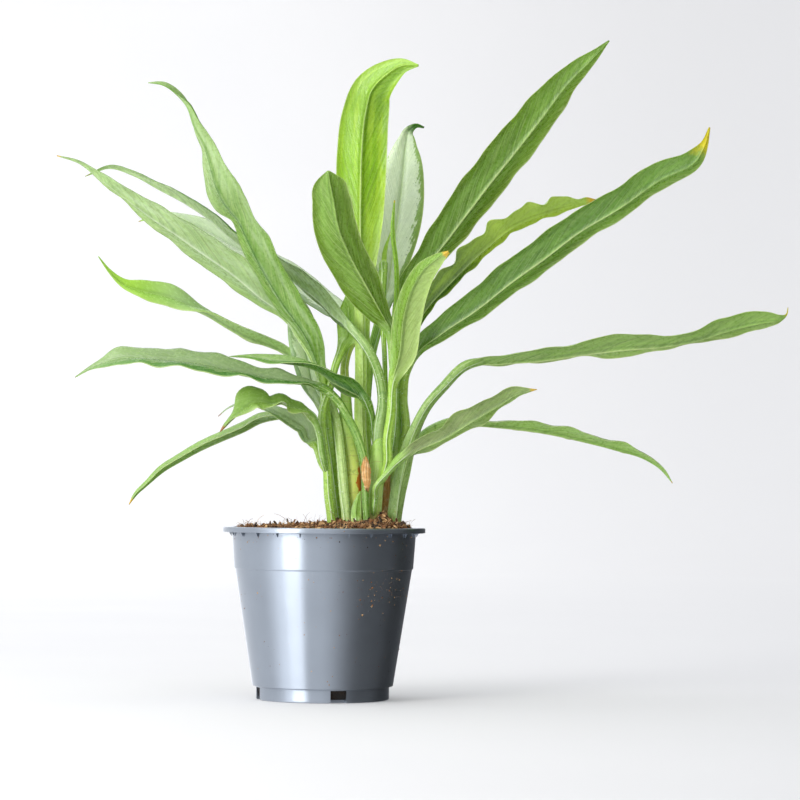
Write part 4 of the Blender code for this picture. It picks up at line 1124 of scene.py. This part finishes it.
def box_ring(size, centre, bearings, taper=1.0):
    """Corners in mm and faces of the same box at each bearing round Z.

    Taper is the share of its depth that is left at its lower end, on the side towards Z.
    """
    half = np.array(size) / 2
    corners = half * [(a, b, c) for c in (-1, 1) for b in (-1, 1) for a in (-1, 1)]
    corners[:4, 1] = corners[:4, 1] * taper + half[1] * (1 - taper)
    sides = np.array([(0, 2, 3, 1), (4, 5, 7, 6), (0, 1, 5, 4), (2, 6, 7, 3), (0, 4, 6, 2), (1, 3, 7, 5)])
    points, faces = [], []
    for number, angle in enumerate(np.radians(bearings)):
        spin = np.array([[np.cos(angle), np.sin(angle), 0], [-np.sin(angle), np.cos(angle), 0], [0, 0, 1]])
        points.append((corners + centre) @ spin)
        faces.extend((sides + len(corners) * number).tolist())
    return np.concatenate(points), faces


def soil_height(radius, bearing):
    """Height of the soil in mm: a low mound, lifted towards one side, with fixed ripples and crumbs."""
    inward = 1 - (radius / SOIL_RADIUS) ** 2
    side = 0.5 + 0.5 * np.cos(np.radians(bearing - LIFTED_BEARING))
    ripple = np.sin(bearing * 0.19 + radius * 0.5) * np.cos(bearing * 0.083 - radius * 0.31)
    x, y = radius * np.sin(np.radians(bearing)), radius * np.cos(np.radians(bearing))
    crumbs = np.sin(x * 1.9 + 2 * np.sin(y * 1.3)) * np.sin(y * 2.1 + 2 * np.sin(x * 1.1))
    crumbs = crumbs + 0.5 * np.sin(x * 4.3 + y * 1.7) * np.sin(y * 3.9 - x * 1.3)
    return SOIL_LEVEL + inward * (1.9 + 2.6 * side) + 0.8 * ripple * (radius > 0) + 0.45 * crumbs


class PotSettings(bpy.types.PropertyGroup):
    """Sizes and colour of the nursery pot."""

    colour: bpy.props.FloatVectorProperty(
        name="Plastic", description="Colour of the pot's plastic", subtype="COLOR", size=3, min=0, max=1,
        default=(0.31, 0.345, 0.39),
    )
    roughness: bpy.props.FloatProperty(
        name="Roughness", description="How dull the plastic is", default=0.3, min=0, max=1,
        subtype="FACTOR",
    )
    steps: bpy.props.IntProperty(
        name="Steps", description="Sides of the turned wall", default=192, min=48, max=512
    )
    ribs: bpy.props.IntProperty(
        name="Rim ribs", description="Small upright ribs below the rim", default=24, min=1, max=72
    )
    grit: bpy.props.IntProperty(
        name="Grit", description="How many grains of soil stick to the wall", default=260, min=1, max=2000
    )
    seed: bpy.props.IntProperty(name="Seed", description="Start of the grit's scatter", default=3, min=0)


class LeafSettings(bpy.types.PropertyGroup):
    """Sizes and finish shared by all the leaves and canes."""

    ring_spacing: bpy.props.FloatProperty(
        name="Ring spacing", description="Distance between the rings of a leaf", default=0.0014,
        min=0.0005, max=0.01, unit="LENGTH", precision=4,
    )
    vein_spacing: bpy.props.FloatProperty(
        name="Vein spacing", description="Distance between side veins along the midrib", default=0.0088,
        min=0.002, max=0.03, unit="LENGTH", precision=4,
    )
    vein_depth: bpy.props.FloatProperty(
        name="Vein depth", description="How far the side veins raise the blade", default=0.00005,
        min=0, max=0.001, unit="LENGTH", precision=5,
    )
    rib_depth: bpy.props.FloatProperty(
        name="Midrib depth", description="How far the midrib stands out below", default=0.001,
        min=0, max=0.003, unit="LENGTH", precision=4,
    )
    blade_thickness: bpy.props.FloatProperty(
        name="Blade thickness", description="Thickness of the blade beside its midrib", default=0.0006,
        min=0.0002, max=0.002, unit="LENGTH", precision=4,
    )
    gloss: bpy.props.FloatProperty(
        name="Roughness", description="How dull the leaves' skin is", default=0.24, min=0, max=1,
        subtype="FACTOR",
    )
    glow: bpy.props.FloatProperty(
        name="Glow", description="How much light spreads through a blade", default=0.12, min=0, max=1,
        subtype="FACTOR",
    )


class SoilSettings(bpy.types.PropertyGroup):
    """The loose matter on the soil."""

    chips: bpy.props.IntProperty(
        name="Bark chips", description="How many chips lie on the soil", default=3200, min=1, max=6000
    )
    fibres: bpy.props.IntProperty(
        name="Fibres", description="How many fibres stand out of the soil", default=950, min=1, max=2000
    )
    seed: bpy.props.IntProperty(name="Seed", description="Start of the scatter", default=7, min=0)


class StageSettings(bpy.types.PropertyGroup):
    """Camera, sweep, lights and mirrored surroundings."""

    lens: bpy.props.FloatProperty(
        name="Lens", description="Focal length of the camera in mm", default=143.7, min=20, max=400
    )
    distance: bpy.props.FloatProperty(
        name="Distance", description="How far the camera stands before the pot", default=1.893,
        min=0.5, max=5, unit="LENGTH",
    )
    glow_back: bpy.props.FloatProperty(
        name="Back glow", description="Brightness of the sweep behind the plant", default=0.45, min=0, max=20
    )
    glow_front: bpy.props.FloatProperty(
        name="Front glow", description="Brightness of the sweep before the plant", default=0.05, min=0, max=20
    )
    key: bpy.props.FloatProperty(
        name="Key light", description="Power of the tall light at the left", default=9, min=0, max=500,
        unit="POWER",
    )
    fill: bpy.props.FloatProperty(
        name="Fill light", description="Power of the broad light at the right", default=1.6, min=0, max=500,
        unit="POWER",
    )
    top: bpy.props.FloatProperty(
        name="Top light", description="Power of the broad light above", default=4, min=0, max=500,
        unit="POWER",
    )
    world_left: bpy.props.FloatProperty(
        name="World left", description="Brightness of the surroundings at the left", default=1.16, min=0,
        max=10,
    )
    world_right: bpy.props.FloatProperty(
        name="World right", description="Brightness of the surroundings at the right", default=0.1, min=0,
        max=10,
    )
    world_panel: bpy.props.FloatProperty(
        name="World panel", description="Brightness of the tall panel at the left", default=1.1, min=0, max=20
    )


class MakePot(bpy.types.Operator):
    """Turns the pot's wall, cuts its drain notches, sets small ribs below its rim and strews grit on it"""

    bl_idname = "evergreen.make_pot"
    bl_label = "Make pot"

    def execute(self, context):
        settings = context.scene.evergreen_pot
        finish = pot_material(settings)
        rings = turned_form(rounded(POT_PROFILE, POT_ROUNDING), settings.steps)
        faces = flipped(shell_faces(*rings.shape[:2]))
        pot = new_piece("pot_wall", rings, faces, finish, ("pot",))
        corners, sides = box_ring(NOTCH_SIZE, NOTCH_CENTRE, NOTCH_BEARINGS)
        cutter = new_object("notch cutter", corners * MM, sides)
        boolean = pot.modifiers.new("Drain notches", "BOOLEAN")
        boolean.operation = "DIFFERENCE"
        boolean.solver = "EXACT"
        boolean.object = cutter
        cut_mesh = bpy.data.meshes.new_from_object(pot.evaluated_get(context.evaluated_depsgraph_get()))
        pot.modifiers.clear()
        pot.data = cut_mesh
        cut_mesh.shade_smooth()
        cut_mesh.set_sharp_from_angle(angle=math.radians(35))
        bpy.data.objects.remove(cutter)
        bearings = [360 / settings.ribs * i + RIB_START for i in range(settings.ribs)]
        corners, sides = box_ring(RIB_SIZE, RIB_CENTRE, bearings, RIB_TAPER)
        new_piece("pot_ribs", corners, sides, finish, sharp=30)
        self.strew_grit(np.random.default_rng(settings.seed), settings.grit)
        return {"FINISHED"}

    def strew_grit(self, rng, count):
        """Grains of soil stuck to the wall: each is a flattened octahedron of its own size and turn.

        A third of them lie in a patch at the right, a quarter just below the rim and the rest anywhere.
        """
        share = rng.random(count)
        patch, rim = share < 0.33, share > 0.75
        bearing = np.where(patch, 42 + 13 * rng.normal(size=count), 360 * rng.random(count))
        height = np.where(patch, 66 + 6 * rng.normal(size=count), 14 + 82 * rng.random(count))
        height = np.where(rim, 97 - 5 * rng.random(count) ** 2, height)[:, None]
        outer = np.array(POT_PROFILE[17:13:-1])
        away = turned(1, np.radians(bearing), 0)
        aside = np.cross(UP, away)
        size = (0.12 + 0.1 * rng.gamma(1.6, 1.0, count))[:, None]
        turn = rng.random(count)[:, None] * np.pi
        first = size * (aside * np.cos(turn) + UP * np.sin(turn))
        second = size * (UP * np.cos(turn) - aside * np.sin(turn))
        third = size * away
        corners = np.stack([1.3 * first, second, -first, -0.8 * second, 0.8 * third, -third], axis=1)
        middle = away * np.interp(height, outer[:, 1], outer[:, 0]) + UP * height
        strew("pot_grit", middle[:, None] + corners, GRAIN_FACES, "Grit", 0.35 + 0.65 * rng.random(count))


class MakeSoil(bpy.types.Operator):
    """Lays the soil's mound and scatters bark chips and fibres over it"""

    bl_idname = "evergreen.make_soil"
    bl_label = "Make soil"

    def execute(self, context):
        settings = context.scene.evergreen_soil
        wall_radius, wall_height = np.array(SOIL_WALL).T
        radius = np.concatenate([wall_radius, np.linspace(52.6, 0.4, 90)])
        far, bearing = np.meshgrid(radius, np.linspace(0, 360, 220, endpoint=False), indexing="ij")
        height = soil_height(far, bearing)
        height[:len(SOIL_WALL)] = wall_height[:, None]
        rings = turned(far, np.radians(bearing), height)
        new_piece("soil_mound", rings, shell_faces(*far.shape), soil_material(), ("soil",))
        rng = np.random.default_rng(settings.seed)
        self.scatter_chips(rng, settings.chips)
        self.scatter_fibres(rng, settings.fibres)
        return {"FINISHED"}

    def scatter_places(self, rng, count):
        """Random places on the soil in mm, and how far above it what lies there is piled.

        Three in ten lie on the heap at the right, and some in the clump at the foot of the thick stem.
        """
        radius = 52.3 * np.sqrt(rng.random(count))
        bearing = rng.random(count) * 360
        pile = np.full(count, 0.9)
        share = rng.random(count)
        heap, clump = share < 0.3, share > 0.93
        radius[heap] = np.clip(42 + 5.0 * rng.normal(size=heap.sum()), 20, 51.8)
        bearing[heap] = HEAP_BEARING + 24 * rng.normal(size=heap.sum())
        pile[heap] = 3.4 * np.exp(-(((bearing[heap] - HEAP_BEARING) / 34) ** 2))
        where = turned(radius, np.radians(bearing), soil_height(radius, bearing))
        spread = 2.2 * rng.normal(size=(clump.sum(), 2))
        where[clump, :2] = CLUMP[:2] + spread
        where[clump, 2] = CLUMP[2]
        pile[clump] = 9.0 * np.exp(-((np.hypot(spread[:, 0], spread[:, 1]) / 3.5) ** 2))
        where[:, 2] += pile * rng.random(count)
        return where

    def within(self, points, reach):
        """The parts that lie wholly within this reach of the pot's axis."""
        return points[np.hypot(points[..., 0], points[..., 1]).max(axis=(1, 2)) < reach]

    def scatter_chips(self, rng, count):
        """Each chip is a bent plank of four cross sections, turned at random about all three axes."""
        where = self.scatter_places(rng, count)
        half_length = (rng.gamma(2.0, 0.6, count) + 0.4)[:, None, None]
        half_width = (rng.gamma(2.0, 0.26, count) + 0.22)[:, None, None]
        half_height = (rng.random(count) * 0.4 + 0.15)[:, None, None]
        along = np.linspace(-1, 1, 4)[None, :, None]
        corner = np.array([(-1, -1), (1, -1), (1, 1), (-1, 1)], float)
        taper = 1 - 0.45 * along**2 * rng.random((count, 1, 1))
        shape = np.zeros((count, 4, 4, 3))
        shape[..., 0] = along * half_length
        shape[..., 1] = corner[:, 0] * half_width * taper
        shape[..., 2] = corner[:, 1] * half_height * taper
        shape[..., 2] += (rng.normal(size=(count, 1, 1)) * 0.35) * along**2 * half_length
        shape += rng.normal(size=shape.shape) * 0.07
        turn = rng.random(count) * 2 * np.pi
        tilt = rng.normal(size=count) * 0.45
        roll = rng.random(count) * 2 * np.pi
        ct, cl, cr = np.cos([turn, tilt, roll])
        st, sl, sr = np.sin([turn, tilt, roll])
        spin = np.array([
            [ct * cl, ct * sl * sr - st * cr, ct * sl * cr + st * sr],
            [st * cl, st * sl * sr + ct * cr, st * sl * cr - ct * sr],
            [-sl, cl * sr, cl * cr],
        ])
        points = np.einsum("ijn,nabj->nabi", spin, shape) + where[:, None, None, :]
        points = self.within(points, SOIL_RADIUS)
        strew("soil_chips", points, shell_faces(4, 4), "Bark", rng.beta(0.9, 1.3, len(points)), 30)

    def scatter_fibres(self, rng, count):
        """Each fibre is a thin tube on a curve that leaves the soil and bends over, many near the wall."""
        where = self.scatter_places(rng, count)
        edge = rng.random(count) < 0.3
        gathered = rng.random(count) < 0.6
        bearing = np.where(gathered, 285 + 22 * rng.normal(size=count), 360 * rng.random(count))
        radius = 44 + 7 * rng.random(count)
        where[edge] = turned(radius, np.radians(bearing), soil_height(radius, bearing))[edge]
        length = (rng.gamma(2.0, 1.5, count) + 2.0)[:, None, None]
        t = np.linspace(0, 1, 8)[None, :, None]
        turn = rng.random(count) * 2 * np.pi
        out = np.stack([np.cos(turn), np.sin(turn), 0 * turn], axis=1)[:, None, :]
        steep = (0.3 + 1.0 * rng.random(count))[:, None, None]
        bend = rng.normal(size=(count, 1, 3)) * (0.35, 0.35, 0.1)
        path = t * out * (1.1 - steep) + (t * steep - 0.35 * t**2 * steep) * UP + bend * t**2
        path = where[:, None, :] + length * path - FIBRE_SUNK * UP
        thick = (0.08 + 0.13 * rng.random(count))[:, None, None] * (1 - 0.6 * t)
        around = np.linspace(0, 2 * np.pi, 4, endpoint=False)[:, None]
        ring = np.cos(around) * np.cross(out, UP)[:, :, None] + np.sin(around) * (UP + out * 0.2)[:, :, None]
        points = self.within(path[:, :, None] + thick[..., None] * ring, FIBRE_REACH)
        strew("soil_fibres", points, shell_faces(8, 4), "Fibre", 0.25 + 0.75 * rng.random(len(points)))


class MakeCanes(bpy.types.Operator):
    """Grows the three short canes that carry other leaves, and lays the two dry sheaths beside them"""

    bl_idname = "evergreen.make_canes"
    bl_label = "Make canes"

    def execute(self, context):
        settings = context.scene.evergreen_leaf
        for seed, (name, stations) in enumerate(CANES.items()):
            x, y, _, half, turn = stations[0]
            path = ((x, y, ROOT_HEIGHT, half, turn), *stations, CANE_TOPS[name])
            rings, numbers = cane_form(path, seed, settings)
            loft(name, rings, cane_material(name), numbers)
        for name, stations, replaces in (("papery_sheath", HUSK, None), ("old_sheath", OLD_SHEATH, ())):
            rings, numbers = husk_form(stations)
            loft(name, rings, husk_material(), numbers, replaces)
        return {"FINISHED"}


class MakeLeaves(bpy.types.Operator):
    """Lofts every leaf from its sheath to its tip and gives each its own two faced finish"""

    bl_idname = "evergreen.make_leaves"
    bl_label = "Make leaves"

    def execute(self, context):
        settings = context.scene.evergreen_leaf
        for seed, (name, leaf) in enumerate(LEAVES.items()):
            rings, numbers = leaf_form(leaf, seed, settings)
            loft(name, rings, leaf_material(name, settings), numbers)
        return {"FINISHED"}


class MakeStage(bpy.types.Operator):
    """Sets up the pale round sweep, the soft lights, the world and the camera"""

    bl_idname = "evergreen.make_stage"
    bl_label = "Make stage"

    def execute(self, context):
        settings = context.scene.evergreen_stage
        bend = np.radians(np.linspace(0, 90, 24))
        edge = SWEEP_FLOOR + SWEEP_CORNER
        radius = np.concatenate([[0.002, 0.5, 1.2, 2.0], SWEEP_FLOOR + SWEEP_CORNER * np.sin(bend), [edge]])
        height = np.concatenate([np.zeros(4), SWEEP_CORNER * (1 - np.cos(bend)), [SWEEP_WALL]]) - SWEEP_BELOW
        rings = turned_form(np.stack([radius, height], axis=1), SWEEP_SIDES)
        faces = shell_faces(len(rings), SWEEP_SIDES)[:-1]
        sweep = new_object("studio_sweep", rings, faces, sweep_material(settings))
        sweep.visible_glossy = False
        self.add_light("Key light", (-0.66, -0.80, 0.52), (0.45, 1.0), settings.key, (1.0, 0.985, 0.96))
        fill = self.add_light("Fill light", (0.7, -1.5, 1.1), (0.9, 0.9), settings.fill, (0.97, 0.985, 1.0))
        fill.visible_glossy = False
        self.add_light("Top light", (-0.1, 0.3, 1.5), (1.3, 1.3), settings.top, (1.0, 1.0, 1.0))
        context.scene.world = studio_world(settings)
        context.scene.view_settings.view_transform = "Standard"
        camera = bpy.data.cameras.new("Camera")
        camera.lens = settings.lens
        camera.sensor_width = 36
        camera.clip_end = 20
        holder = bpy.data.objects.new("Camera", camera)
        holder.matrix_world = (
            Matrix.Translation((CAMERA_SIDE, -settings.distance, CAMERA_HEIGHT))
            @ Matrix.Rotation(math.radians(CAMERA_TILT), 4, "X")
            @ Matrix.Rotation(math.radians(CAMERA_ROLL), 4, "Z")
        )
        context.scene.collection.objects.link(holder)
        context.scene.camera = holder
        return {"FINISHED"}

    def add_light(self, name, place, size, power, colour):
        """A soft rectangular light in metres that faces the middle of the plant."""
        light = bpy.data.lights.new(name, "AREA")
        light.shape = "RECTANGLE"
        light.size, light.size_y = size
        light.energy = power
        light.color = colour
        holder = bpy.data.objects.new(name, light)
        aim = Vector(LIGHTS_AIM) - Vector(place)
        holder.matrix_world = Matrix.Translation(place) @ aim.to_track_quat("-Z", "Y").to_matrix().to_4x4()
        holder.visible_camera = False
        bpy.context.scene.collection.objects.link(holder)
        return holder


class EvergreenPanel(bpy.types.Panel):
    """Sizes, colours and buttons for the potted plant"""

    bl_idname = "VIEW3D_PT_evergreen"
    bl_label = "Potted Chinese Evergreen"
    bl_space_type = "VIEW_3D"
    bl_region_type = "UI"
    bl_category = "Evergreen"

    def draw(self, context):
        for group, _, operators in GROUPS:
            box = self.layout.box()
            settings = getattr(context.scene, group)
            for key in settings.bl_rna.properties.keys():
                if key not in ("rna_type", "name"):
                    box.prop(settings, key)
            for operator in operators:
                box.operator(operator.bl_idname)


# Each group of settings by its name on the scene, with the operators that read it.
GROUPS = (
    ("evergreen_pot", PotSettings, (MakePot,)),
    ("evergreen_soil", SoilSettings, (MakeSoil,)),
    ("evergreen_leaf", LeafSettings, (MakeCanes, MakeLeaves)),
    ("evergreen_stage", StageSettings, (MakeStage,)),
)
CLASSES = (
    PotSettings, SoilSettings, LeafSettings, StageSettings,
    MakePot, MakeSoil, MakeCanes, MakeLeaves, MakeStage, EvergreenPanel,
)


def register():
    for each in CLASSES:
        bpy.utils.register_class(each)
    for group, settings, _ in GROUPS:
        setattr(bpy.types.Scene, group, bpy.props.PointerProperty(type=settings))


def unregister():
    for group, _, _ in GROUPS:
        delattr(bpy.types.Scene, group)
    for each in reversed(CLASSES):
        bpy.utils.unregister_class(each)


def main():
    register()
    for _, _, operators in GROUPS:
        for operator in operators:
            group, call = operator.bl_idname.split(".")
            if getattr(getattr(bpy.ops, group), call)() != {"FINISHED"}:
                raise RuntimeError(operator.bl_label + " didn't finish")


if __name__ == "__main__":
    main()
